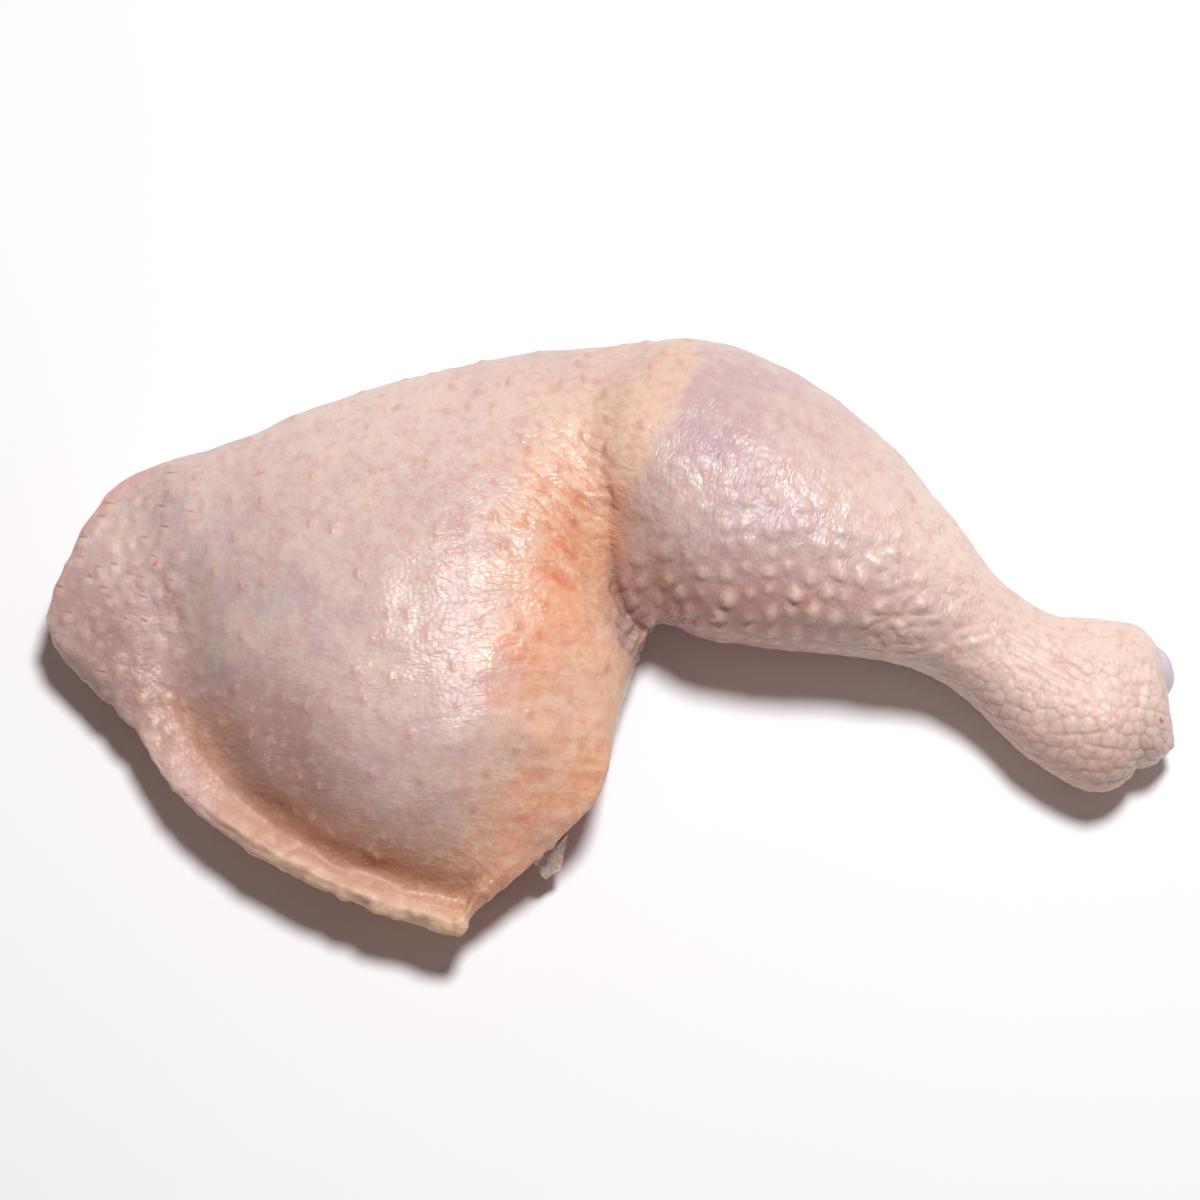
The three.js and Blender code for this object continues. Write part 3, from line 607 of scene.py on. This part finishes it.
def round_the_ring(c, rings):
    """For each point: the way round its ring from the crown, less than 0 on the near side, the same with the
    crown's y added, which the patterns are laid by, and how much of the relief shows there. It is none on
    the hidden side of the thigh's sheet, and fades out below the drumstick."""
    steps = np.linalg.norm(np.roll(rings, -1, axis=1) - rings, axis=2)
    total = steps.sum(1, keepdims=True)
    way = np.cumsum(steps, axis=1) - steps
    crown = OVER // 2
    way = way - way[:, crown:crown + 1]
    way = np.where(way > total / 2, way - total, way)
    hidden = np.zeros(rings.shape[1] - OVER - CURLED - WALL - 1)
    sheet = np.concatenate([np.ones(OVER + 1), 1 - np.arange(1, CURLED + 1) / CURLED, hidden, np.ones(WALL)])
    drumstick = 1 - smooth(0.38, 0.5, np.abs(way) / total)
    return way, rings[:, crown:crown + 1, 1] + way, mix(sheet[None, :], drumstick, c.round)


def skin_piece(material):
    """The whole skin as one closed tube of rings, with relief set out along its normals."""
    c = Sections(stations(0, LAST, RINGS + 2)[1:-1])
    rings = skin_rings(c)
    way, girth, shown = round_the_ring(c, rings)
    relief, masks = skin_detail(c, rings[..., 0], rings[..., 1], way, girth)
    return closed_rings("skin", with_relief(rings, shown * relief), material, masks)


# ---- the skin's relief and colour ----

def follicles(x, g, spacing, seed, jitter):
    """Follicles a spacing apart: the place in millimetres from the nearest, its own random number, and a
    share that falls to 0 halfway to the next one."""
    first, second, dx, dy, own = cells(x / spacing, g / spacing, seed, jitter)
    return dx * spacing, dy * spacing, own, smooth(0, 0.55, second - first)


def skin_detail(c, x, y, way, g):
    """The relief in millimetres, and the masks that the material colours the skin by, at each point of plan x
    and y. Patterns are laid by x and the girth g, so that they keep their size on steep sides."""
    area = {name: patches(x, y, *table) for name, table in AREAS.items()}
    stroke = {name: strokes(x, y, *table) for name, table in STROKES.items()}
    in_plan = lambda size, seed: noise(x / size, y / size, seed)
    on_skin = lambda size, seed: noise(x / size, g / size, seed)
    valley, valley_depth = beside(VALLEY_LINE, x, y)
    peach_gap, peach_depth = beside(PEACH_LINE, x, y)
    crease_gap, crease_deep = beside(CREASE_LINE, x, y)
    cut_gap, _ = beside(CUT_LINE, x, y)
    from_near = np.maximum(way - way[:, :1], 0)
    edge = np.minimum(from_near, np.maximum(way[:, OVER:OVER + 1] - way, 0))
    sheet = 1 - c.round
    ragged = peach_gap + 1.8 * in_plan(6, 91) + in_plan(2.2, 104)
    on_drumstick = smooth(1.2, -3, ragged)
    on_thigh = 1 - on_drumstick
    tongue = smooth(-78, -92, x)

    # The flap's raised fat rim, and the valley inside it.
    rim_zone = c.apron * smooth(1, -5, valley) * smooth(-92, -75, x)
    fat_rim = c.apron * smooth(-3.5, -8, valley + 2.5 * in_plan(4, 103)) * smooth(-84, -62, x)
    in_valley = c.apron * smooth(0.3, 2, valley_depth)

    # Bumps round the follicles: pearls of fat on the drumstick, small pimples on the thigh.
    bumps = area["bumps"] * on_drumstick + 0.4 * tongue
    bx, by, own, clear = follicles(x, g, FOLLICLES["drumstick"], 81, 0.72)
    size = mix(0.9, 1.75, own)
    pearl = clear * np.exp(-(bx / size) ** 2 - ((by + 0.3) / (1.4 * size)) ** 2) * mix(0.55, 1, own)
    tx, ty, kept, _ = follicles(x, g, FOLLICLES["thigh"], 82, 0.75)
    pimple = np.exp(-tx ** 2 - (ty / 1.4) ** 2) * smooth(0.2, 0.8, kept)

    # The hock's scales.
    plate_x, plate_y = x + 0.7 * on_skin(6, 97), g + 0.7 * on_skin(6, 98)
    first, second, _, _, plate = cells(plate_x / SCALE_SPACING, plate_y / SCALE_SPACING, 83, 0.65)
    groove = 1 - smooth(0, 0.3, second - first)

    # Wrinkles that fan into the knee crease and fold over the ankle: where they are, how far each point is
    # from the bottom of one, how wide its groove is coloured, and the height. Then the lines across the skin.
    fan_x, fan_y = x - KNEE[0], y - KNEE[1]
    fan_angle = 5.5 * np.arctan2(fan_y, -fan_x) + 0.4 * in_plan(4, 95)
    bent = x + 1.2 * on_skin(6, 99)
    wrinkles = [(where, np.abs(gap), wide, height) for where, gap, wide, height in (
        (area["knee_fan"] * on_thigh, noise(fan_angle, np.hypot(fan_x, fan_y) / 11, 84), 0.22, 0.75),
        (area["rising"], streaks(bent, g, 0.45, 11, 2.6, 85), 0.16, 0.85),
        (area["falling"], streaks(bent, g, -0.55, 9, 2.4, 86), 0.16, 0.9),
    )]
    level = area["level"] * on_thigh
    lines = streaks(x, g, 0.03, 7, 1.7, 87)

    torn = sheet * bump(from_near, 2.2)
    relief = mix(PEARLS["at_edge"], PEARLS["inside"], smooth(1, 8, edge)) * bumps * pearl
    relief = relief + sum(height * where * (gap ** 0.8 - 0.3) for where, gap, _, height in wrinkles)
    relief = relief + sum(HEIGHTS[name] * pattern for name, pattern in dict(
        hills=noise(x / 17, g / 15, 71),
        humps=on_skin(7, 72),
        pimples=on_thigh * pimple,
        plates=area["scales"] * (plate - groove),
        domes=area["scales"] * (1 - first ** 2),
        folds=stroke["folds"],
        level=level * lines,
        cut=sheet * bump(cut_gap, 10) * lines,
        standing=area["standing"] * on_drumstick * streaks(x, g, 1.25, 4, 1.3, 100),
        knobs=area["shaded_fold"] * (0.6 - cells(x / 2.4, g / 2.4, 88, 0.8)[0]),
        tucks=stroke["tucks"],
        rim_grain=fat_rim * on_skin(2.4, 89),
        rim_humps=rim_zone * on_skin(5, 94),
        rim_lines=rim_zone * noise(x / 8, valley / 1.5, 101),
        valley=in_valley * bump(valley, 7) * noise(x / 11, y / 9, 102),
        ragged=torn * in_plan(3.6, 105),
        frayed=torn * in_plan(1.6, 106),
    ).items())

    shade = 0.8 * bump(valley - 11, 10) * in_valley * mix(1, 0.25, smooth(-62, -44, x))
    faded = 1 - smooth(8, 33, peach_gap + 8 * in_plan(9, 107))
    streaky = mix(0.45, 1, smooth(-0.4, 0.5, streaks(x, g, 0.05, 9, 2, 108)))
    cool_streaks = smooth(0.1, 0.6, streaks(x, g, 0.1, 15, 4, 110))
    # Painted shade along the bottom of the knee crease.
    crease_shade = bump(crease_gap, 1.5) * smooth(8, 13, crease_deep)
    wrinkle = np.max([where * smooth(wide, 0, gap) for where, gap, wide, _ in wrinkles], axis=0)
    # On the tongue the marks are short cracks that lie over the bumps.
    cracked = tongue > 0.5
    along_mark = np.where(cracked, 0.95 * bx - 0.3 * (by - 0.9), ty)
    across_mark = np.where(cracked, 2.2 * (0.3 * bx + 0.95 * (by - 0.9)), tx)
    from_mark = np.where(cracked, np.hypot(bx, by - 0.9), np.hypot(tx, ty))
    masks = dict(
        pale=area["pale"],
        cool=np.maximum(area["cool"], 0.4 * level * cool_streaks),
        lilac=area["lilac"] * on_drumstick,
        flush=area["flush"] * on_drumstick * (1 - 0.8 * bumps * pearl),
        peach=peach_depth * smooth(-3, 3, ragged) * faded,
        orange=np.maximum(area["orange"] * mix(1, streaky, smooth(0, -20, y)), stroke["folds"]) * on_thigh,
        shade=np.maximum(shade, area["shade"]),
        tawny=np.maximum(area["tawny"], 0.6 * rim_zone),
        # Brown along the valley inside the flap's rim, more where the valley is deep: partly the skin's own
        # tone, partly painted shade in the hollow.
        brown_and_valley_shade=0.95 * bump(valley, 6) * c.apron * smooth(0.6, 2.8, valley_depth),
        pink=area["pink"] * bump(edge, 3.4),
        rim=fat_rim * mix(0.4, 0.9, smooth(-0.5, 0.6, in_plan(3, 96))),
        # Cream on the pearls of fat, and over the knee above the crease, where it is partly painted light.
        cream=np.maximum(bumps * pearl ** 1.5, area["waxy"]),
        # Painted shade: dark on the fold under the knee, in its tucks and along the bottom of the crease.
        shaded_fold=np.maximum(np.maximum(0.6 * area["shaded_fold"], stroke["tucks"]), 0.75 * crease_shade),
        vein=stroke["veins"],
        # The grooves between the hock's scales and in the wrinkles are drawn darker and warmer: partly
        # painted shade in them.
        groove=np.maximum(0.5 * area["scales"] * groove, 0.5 * wrinkle),
        blood=stroke["blood"],
        drumstick=on_drumstick,
        tongue=tongue,
        leather=area["leather"] * on_thigh,
        dry=area["dry"],
        seen=smooth(0.3, 0.85, kept) * on_thigh,
        lay=np.stack([x, g, 0 * x], axis=-1) / 1000,
        mark=np.stack([across_mark, along_mark, from_mark], axis=-1),
        wrinkled=mix(0.4, 1.1, smooth(-0.5, 0.5, on_skin(9, 109)))
        * np.maximum(on_drumstick, mix(0.4, 1, area["sparkling"])),
    )
    return relief, masks


# ---- meat, gristle and membrane ----

MEAT_RINGS, MEAT_CURL, MEAT_TOP, MEAT_WALL, MEAT_FOOT = 240, 8, 60, 25, 9   # rings, and the steps of one


def meat_rings(c):
    """Closed rings of meat, with the same steps as the solid model's but finer: along the skin's inner side
    from the far curl to the near edge, down a wall that bulges a little and tucks in, and back along the
    table. Towards the hip it thins and narrows to a rounded end."""
    full = smooth(MEAT_SECTIONS[0] - 0.6, MEAT_SECTIONS[0] + 1.4, c.u)
    s_top, z_top = c.inner(CLEARANCE, MEAT_CURL, MEAT_TOP)
    s_top = mix(c.length / 2, s_top, mix(MEAT["end_width"], 1, full))
    z_top = np.maximum(z_top * mix(MEAT["end_height"], 1, full), MEAT["rim"])
    near_s, near_z, far_s = s_top[:, -1:], z_top[:, -1:], s_top[:, :1]
    down = np.arange(1, MEAT_WALL)[None, :] / MEAT_WALL
    s_wall = near_s - MEAT["bulge"] * np.sin(np.pi * down) + MEAT["tuck"] * down ** 4
    z_wall = near_z * (1 - down)
    s_foot = mix(near_s + MEAT["tuck"], far_s, np.linspace(0, 1, MEAT_FOOT)[None, :])
    s = np.hstack([s_top, s_wall, s_foot])[:, ::-1]
    z = np.hstack([z_top, z_wall, 0 * s_foot])[:, ::-1]
    x, y = c.place(s)
    return np.stack([x, y, z], axis=-1)


def meat_piece(material):
    """The thigh's meat, with bundles of fibres that run up its cut wall."""
    c = Sections(stations(*MEAT_SECTIONS, MEAT_RINGS))
    rings = meat_rings(c)
    x, _, z = np.moveaxis(rings, -1, 0)
    fibres = noise(x / 2.2, z / 7, 31) + 0.5 * noise(x / 0.9, z / 4, 32)
    set_in = smooth(0, 2.5, z) * (1 - smooth(16, 22, z))
    return closed_rings("meat", with_relief(rings, 0.35 * fibres * set_in), material)


def gristle_piece(material):
    """The knuckle at the shank end: an ellipsoid with a shallow groove down its outer side, its poles up
    and down."""
    around, up = np.meshgrid(np.linspace(0, 2 * np.pi, 96, endpoint=False), np.linspace(0, np.pi, 62)[1:-1])
    x, y, z = np.cos(around) * np.sin(up), np.sin(around) * np.sin(up), np.cos(up)
    shrink = 1 - GRISTLE["groove"] * bump(y, 0.35) * np.maximum(0, x)
    uneven = 1 + 0.02 * noise(3 * around, 4 * up, 41)
    x, y, z = (part * shrink * uneven * size for part, size in zip((x, y, z), GRISTLE["size"]))
    ball = np.stack([*turned(x, y, -GRISTLE["turn"]), z], axis=-1)
    return closed_rings("gristle", ball + np.array(GRISTLE["at"]), material)


def membrane_piece(material):
    """The thin scrap that hangs from under the cut edge: a strip that narrows, waves and curls as it goes
    down, with a front, a back and a rim between them."""
    down, across = np.meshgrid(np.linspace(0, 1, 40), np.linspace(0, 1, 60), indexing="ij")
    share = mix(0.35 * down, 1 - 0.25 * down, across)
    c = Sections(mix(*MEMBRANE["sections"], share).ravel())
    wave = 0.35 * np.sin(7 * share + 5 * down) + 0.15 * noise(9 * across, 5 * down, 51)
    out = mix(MEMBRANE["root"], MEMBRANE["reach"], down) + wave
    faces_out = []
    for side in (0.5, -0.5):
        x, y = c.place((out + side * MEMBRANE["thickness"] * (1 - 0.5 * down)).reshape(-1, 1))
        z = mix(MEMBRANE["top"], MEMBRANE["bottom"], down)
        faces_out.append(np.stack([x.reshape(down.shape), y.reshape(down.shape), z], axis=-1))
    inner, outer = faces_out
    return closed_rings("membrane", np.hstack([outer, inner[:, ::-1]]), material)


# ---- materials ----

RGBA = {"data_type": "RGBA"}
PRODUCT, PRODUCT_PLUS = {"operation": "MULTIPLY"}, {"operation": "MULTIPLY_ADD"}
FLAT = {"noise_dimensions": "2D"}
STRETCHED = {"vector_type": "TEXTURE"}     # a Mapping node whose Scale is the pattern's size in metres


def linear(hex_colour):
    """A colour written as sRGB hex, turned to the linear values that the shader takes."""
    channels = [int(hex_colour[k:k + 2], 16) / 255 for k in (1, 3, 5)]
    return [v / 12.92 if v <= 0.04045 else ((v + 0.055) / 1.055) ** 2.4 for v in channels] + [1.0]


def add(tree, kind, settings=(), out=0, **links):
    """Adds a node with its settings and gives one of its outputs. A link is a socket, or a plain value or hex
    colour for that input: _0 is the first input, Base_Color the one named Base Color."""
    node = tree.nodes.new("ShaderNode" + kind)
    for name, value in dict(settings).items():
        setattr(node, name, value)
    for name, value in links.items():
        socket = node.inputs[int(name[1:])] if name[0] == "_" else node.inputs[name.replace("_", " ")]
        if isinstance(value, bpy.types.NodeSocket):
            tree.links.new(value, socket)
        else:
            socket.default_value = linear(value) if isinstance(value, str) else value
    return node.outputs[out] if node.outputs else None


def material(name):
    """A new material with an empty node tree: the material, the tree and the place on the piece."""
    new = bpy.data.materials.new(name)
    new.use_nodes = True
    new.node_tree.nodes.clear()
    return new, new.node_tree, add(new.node_tree, "TexCoord", out="Object")


def wet_tissue(tree, colour, height, rough, bump, ior, inside):
    """Ends the tree of a wet tissue. bump is the bump's strength and its depth in metres; inside is the share
    of light that goes in, how far its red, green and blue get, and the scale of that in metres."""
    bumpy = add(tree, "Bump", Strength=bump[0], Distance=bump[1], Height=height)
    surface = add(tree, "BsdfPrincipled", Roughness=rough, IOR=ior, Base_Color=colour, Normal=bumpy,
                  Subsurface_Weight=inside[0], Subsurface_Radius=inside[1], Subsurface_Scale=inside[2])
    add(tree, "OutputMaterial", Surface=surface)


# The colours that each mask brings to the skin, one over the other. The greyish mauve and the fold colour are
# painted shade, the brown and the groove colour partly painted shade, and the cream partly painted light.
SKIN_TINTS = dict(
    pale="#f1d9cc", cool="#b9a9b0", lilac="#c0a2ac", flush="#c08884", peach="#ecc6ac", orange="#e4956c",
    shade="#a98380", tawny="#ca997f", brown_and_valley_shade="#ba856b", pink="#e2a8a3", rim="#e6c5a8", cream="#efd4bf",
    shaded_fold="#84605a", vein="#b07c76", groove="#d0937e",
)


def raw_skin():
    """Raw poultry skin with fat below it: pale, soft and a little see-through, mottled pink and lilac, with
    fine wrinkles that break its wet shine into sparks."""
    new, tree, place = material("raw_poultry_skin")
    lay, mark = (add(tree, "Attribute", {"attribute_name": name}, "Vector") for name in ("lay", "mark"))
    names = (*SKIN_TINTS, "blood", "drumstick", "tongue", "leather", "dry", "seen", "wrinkled")
    mask = {name: add(tree, "Attribute", {"attribute_name": name}, "Fac") for name in names}

    # Blotches 9 mm across, mottle 2.4 mm and grains of fat 1.5 mm across.
    blotches, mottle, grains = (
        add(tree, "TexNoise", Vector=place, Scale=1000 / size, Detail=2, Roughness=0.6)
        for size in (9, 2.4, 1.5))
    blotchy = add(tree, "MapRange", Value=blotches, _1=0.35, _2=0.65)
    colour = add(tree, "Mix", RGBA, 2, _0=blotchy, _6="#d2b6b6", _7="#dcc4b9")

    # Leathery skin: soft pebbles 4 by 1.6 mm that slope down to the right, with short clefts between them.
    leathery = add(tree, "Mapping", STRETCHED, Vector=lay, Rotation=(0, 0, -0.7), Scale=(0.004, 0.0016, 1))
    pebbles = add(tree, "TexNoise", FLAT, Vector=leathery, Scale=1, Detail=1, Distortion=0.6)
    cleft = add(tree, "MapRange", Value=pebbles, _1=0.44, _2=0.3, _4=0.8)
    cleft = add(tree, "Math", PRODUCT, _0=cleft, _1=mask["leather"])
    pebble = add(tree, "MapRange", Value=pebbles, _1=0.28, _2=0.6, _4=0.8)

    # Follicles on the thigh: soft upright marks 1.4 by 2.8 mm, cream or orange with pink round them. On the
    # tongue they are dark cracks 0.7 by 2.8 mm.
    mark_size = add(tree, "VectorMath", PRODUCT, _0=mark, _1=(1.4, 0.7, 0))
    mark_size = add(tree, "VectorMath", {"operation": "LENGTH"}, 1, _0=mark_size)
    from_mark = add(tree, "SeparateXYZ", (), 2, Vector=mark)
    close = add(tree, "MapRange", Value=from_mark, _1=1.8, _2=1.3)
    seen = add(tree, "Math", PRODUCT, _0=close, _1=mask["seen"])
    spots = [add(tree, "MapRange", {"interpolation_type": "SMOOTHSTEP"}, Value=mark_size, _1=outside,
                 _2=inside, _4=most)
             for outside, inside, most in ((2, 0.8, 0.3), (1.1, 0.1, 0.55))]
    halo, core = (add(tree, "Math", PRODUCT, _0=seen, _1=spot) for spot in spots)
    dent = add(tree, "MapRange", Value=mask["tongue"], _3=0.6, _4=-1.2)

    # Blood that has soaked in, broken up by the mottle.
    stain = add(tree, "Math", PRODUCT_PLUS, _0=mottle, _1=0.7, _2=mask["blood"])
    stain = add(tree, "MapRange", Value=stain, _1=0.45, _2=1.2, _4=0.9)
    stain = add(tree, "Math", PRODUCT, _0=stain, _1=mask["blood"])

    # Red and waxy mottle everywhere, grains of yellow fat and rust in the peach-coloured fat.
    ruddy, waxy, fatty, rusty = (
        add(tree, "MapRange", Value=value, _1=start, _2=end, _4=most)
        for value, start, end, most in ((mottle, 0.5, 0.72, 0.4), (mottle, 0.5, 0.28, 0.3),
                                        (grains, 0.52, 0.7, 0.4), (grains, 0.46, 0.34, 0.3)))
    fatty, rusty = (add(tree, "Math", PRODUCT, _0=share, _1=mask["peach"]) for share in (fatty, rusty))
    pore = add(tree, "Mix", RGBA, 2, _0=mask["peach"], _6="#e2b694", _7="#dc9a70")
    pore = add(tree, "Mix", RGBA, 2, _0=mask["tongue"], _6=pore, _7="#a8786a")
    rust = add(tree, "Mix", RGBA, 2, _0=mask["tongue"], _6="#d98f68", _7="#a27468")
    for share, tint in (
        *((mask[name], tint) for name, tint in SKIN_TINTS.items()),
        (ruddy, "#cf968b"), (waxy, "#e8d6c6"), (fatty, "#f0d2a6"), (rusty, "#e2a17c"),
        (cleft, rust), (halo, "#cf988c"), (core, pore), (stain, "#d4502c"),
    ):
        colour = add(tree, "Mix", RGBA, 2, _0=share, _6=colour, _7=tint)

    # Fine wrinkles: level lines 3.3 by 1 mm on the thigh, steep ones on the drumstick; a grain of 1.2 mm.
    level, steep = (
        add(tree, "TexNoise", FLAT, Scale=1, Detail=1.5, Distortion=0.8,
            Vector=add(tree, "Mapping", STRETCHED, Vector=lay, Rotation=(0, 0, turn), Scale=(long, 0.001, 1)))
        for turn, long in ((0.05, 0.0033), (1.3, 0.0028)))
    wrinkles = add(tree, "Mix", _0=mask["drumstick"], _2=level, _3=steep)
    height = add(tree, "Math", PRODUCT, _0=wrinkles, _1=mask["wrinkled"])
    grain = add(tree, "TexVoronoi", {"voronoi_dimensions": "2D"}, Vector=lay, Scale=1000 / 1.2)
    for pattern, depth in ((grain, -0.3), (pebble, mask["leather"]), (core, dent)):
        height = add(tree, "Math", PRODUCT_PLUS, _0=pattern, _1=depth, _2=height)
    rough = add(tree, "MapRange", Value=blotches, _1=0.3, _2=0.7, _3=0.42, _4=0.3)
    rough = add(tree, "Math", PRODUCT_PLUS, _0=mask["dry"], _1=0.2, _2=rough)
    wet_tissue(tree, colour, height, rough, (1.0, 0.00026), 1.42, (0.18, (1.0, 0.42, 0.28), 0.0018))
    return new


def raw_meat():
    """Raw dark poultry meat: deep pink bundles of fibre 1.4 mm thick along the thigh, with a few pale strands
    of fat that wander between them."""
    new, tree, place = material("raw_meat")
    fibre, muscle = (
        add(tree, "TexNoise", Scale=1, Detail=detail, Distortion=wander,
            Vector=add(tree, "Mapping", STRETCHED, Vector=place, Rotation=(0, lean, 0.5), Scale=size))
        for lean, size, detail, wander in ((0, (0.012, 0.0014, 0.0014), 3, 0.4),
                                           (0.2, (0.03, 0.009, 0.007), 2, 0.8)))
    bundled = add(tree, "MapRange", Value=fibre, _1=0.35, _2=0.65)
    colour = add(tree, "Mix", RGBA, 2, _0=bundled, _6="#b06a63", _7="#cf958a")
    deep = add(tree, "MapRange", Value=muscle, _1=0.55, _2=0.7, _4=0.6)
    strands = add(tree, "Math", {"operation": "COMPARE"}, _0=muscle, _1=0.5, _2=0.012)
    for share, tint in ((deep, "#9c5a58"), (strands, "#cfa397")):
        colour = add(tree, "Mix", RGBA, 2, _0=share, _6=colour, _7=tint)
    rough = add(tree, "MapRange", Value=fibre, _1=0.3, _2=0.7, _3=0.42, _4=0.28)
    wet_tissue(tree, colour, fibre, rough, (0.8, 0.0004), 1.4, (0.12, (1.0, 0.3, 0.2), 0.0015))
    return new


def joint_gristle():
    """Cartilage: bluish white and smooth, with faint clouds 3 mm across."""
    new, tree, place = material("joint_gristle")
    clouds = add(tree, "TexNoise", Vector=place, Scale=1000 / 3, Detail=2)
    cloudy = add(tree, "MapRange", Value=clouds, _1=0.35, _2=0.65)
    colour = add(tree, "Mix", RGBA, 2, _0=cloudy, _6="#cfc3d2", _7="#e2d9e0")
    rough = add(tree, "MapRange", Value=clouds, _1=0.3, _2=0.7, _3=0.2, _4=0.3)
    wet_tissue(tree, colour, clouds, rough, (0.5, 0.0002), 1.4, (0.2, (1.0, 0.8, 0.8), 0.002))
    return new


def wet_membrane():
    """A wet film of connective tissue: greyish pink, glossy and a little see-through, with paler threads
    0.6 mm wide that run down it."""
    new, tree, place = material("wet_membrane")
    threads = add(tree, "Mapping", STRETCHED, Vector=place, Scale=(0.0006, 0.0006, 0.004))
    threads = add(tree, "TexNoise", Vector=threads, Scale=1, Detail=2)
    paler = add(tree, "MapRange", Value=threads, _1=0.4, _2=0.65)
    colour = add(tree, "Mix", RGBA, 2, _0=paler, _6="#c4a69c", _7="#e2d2ca")
    rough = add(tree, "MapRange", Value=threads, _1=0.3, _2=0.7, _3=0.25, _4=0.4)
    wet_tissue(tree, colour, threads, rough, (0.7, 0.0002), 1.38, (0.3, (1.0, 0.6, 0.5), 0.0015))
    return new


def white_board():
    """White board, its matt face clouded a little over 60 mm."""
    new, tree, place = material("white_board")
    clouds = add(tree, "TexNoise", Vector=place, Scale=1000 / 60, Detail=2)
    colour = add(tree, "Mix", RGBA, 2, _0=clouds, _6="#f9fafd", _7="#fcfcff")
    matt = add(tree, "MapRange", Value=clouds, _3=0.86, _4=0.94)
    surface = add(tree, "BsdfPrincipled", Roughness=matt, Base_Color=colour)
    add(tree, "OutputMaterial", Surface=surface)
    return new


# ---- scene ----

CAMERA = dict(looks_at=(0, 0, 18), elevation=70, distance=0.8, lens=112.78, sensor=36, reach=20)
KEY_LIGHT = dict(at=(150, 230, 950), width=0.22, watts=9.4)
FILL_LIGHT = dict(colour=(1, 0.8, 0.7, 1), strength=0.15)
FLOOR_HALF = 3.0             # metres from the middle of the floor to its sides


def in_row_frame(x, y, z):
    """A point in leg millimetres as metres in the frame that the object stands in."""
    return ((x - PLAN_MIDDLE[0]) / 1000, (y - PLAN_MIDDLE[1]) / 1000, z / 1000)


def aim(obj, target):
    """Turns an object so that it looks at a point."""
    way = Vector(target) - obj.location
    obj.rotation_euler = way.to_track_quat("-Z", "Y").to_euler()


def add_floor():
    """A pale board under the leg, far wider than the view."""
    mesh = bpy.data.meshes.new("floor")
    corners = [(FLOOR_HALF * i, FLOOR_HALF * j, 0) for i, j in ((-1, -1), (1, -1), (1, 1), (-1, 1))]
    mesh.from_pydata(corners, [], [(0, 1, 2, 3)])
    mesh.materials.append(white_board())
    floor = place_in_scene("floor", mesh)


def add_camera():
    """The photograph's view: 70 degrees above the table, 800 mm away, 0.2128 mm to a pixel of 1200."""
    data = bpy.data.cameras.new("camera")
    data.lens = CAMERA["lens"]
    data.sensor_width = CAMERA["sensor"]
    data.clip_end = CAMERA["reach"]
    camera = place_in_scene("camera", data)
    x, y, z = in_row_frame(*CAMERA["looks_at"])
    rise, distance = math.radians(CAMERA["elevation"]), CAMERA["distance"]
    camera.location = (x, y - distance * math.cos(rise), z + distance * math.sin(rise))
    aim(camera, (x, y, z))
    bpy.context.scene.camera = camera


def add_light():
    """One soft light high behind the leg's right half, and a weak even fill."""
    data = bpy.data.lights.new("key", "AREA")
    data.shape = "DISK"
    data.size = KEY_LIGHT["width"]
    data.energy = KEY_LIGHT["watts"]
    key = place_in_scene("key", data)
    key.location = in_row_frame(*KEY_LIGHT["at"])
    aim(key, in_row_frame(0, 0, 0))
    world = bpy.data.worlds.new("world")
    bpy.context.scene.world = world
    world.use_nodes = True
    background = world.node_tree.nodes["Background"]
    background.inputs["Color"].default_value = FILL_LIGHT["colour"]
    background.inputs["Strength"].default_value = FILL_LIGHT["strength"]


for piece, node, slot in (
    (skin_piece(raw_skin()), "skin_covered_leg", "raw_skin"),
    (meat_piece(raw_meat()), "thigh_meat", "raw_meat"),
    (gristle_piece(joint_gristle()), "hock_gristle", "gristle"),
    (membrane_piece(wet_membrane()), "membrane_scrap", "membrane"),
):
    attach(piece, "root")
    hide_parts(node)

add_floor()
add_camera()
add_light()
bpy.context.scene.view_settings.view_transform = "Standard"
bpy.context.scene.view_settings.look = "None"
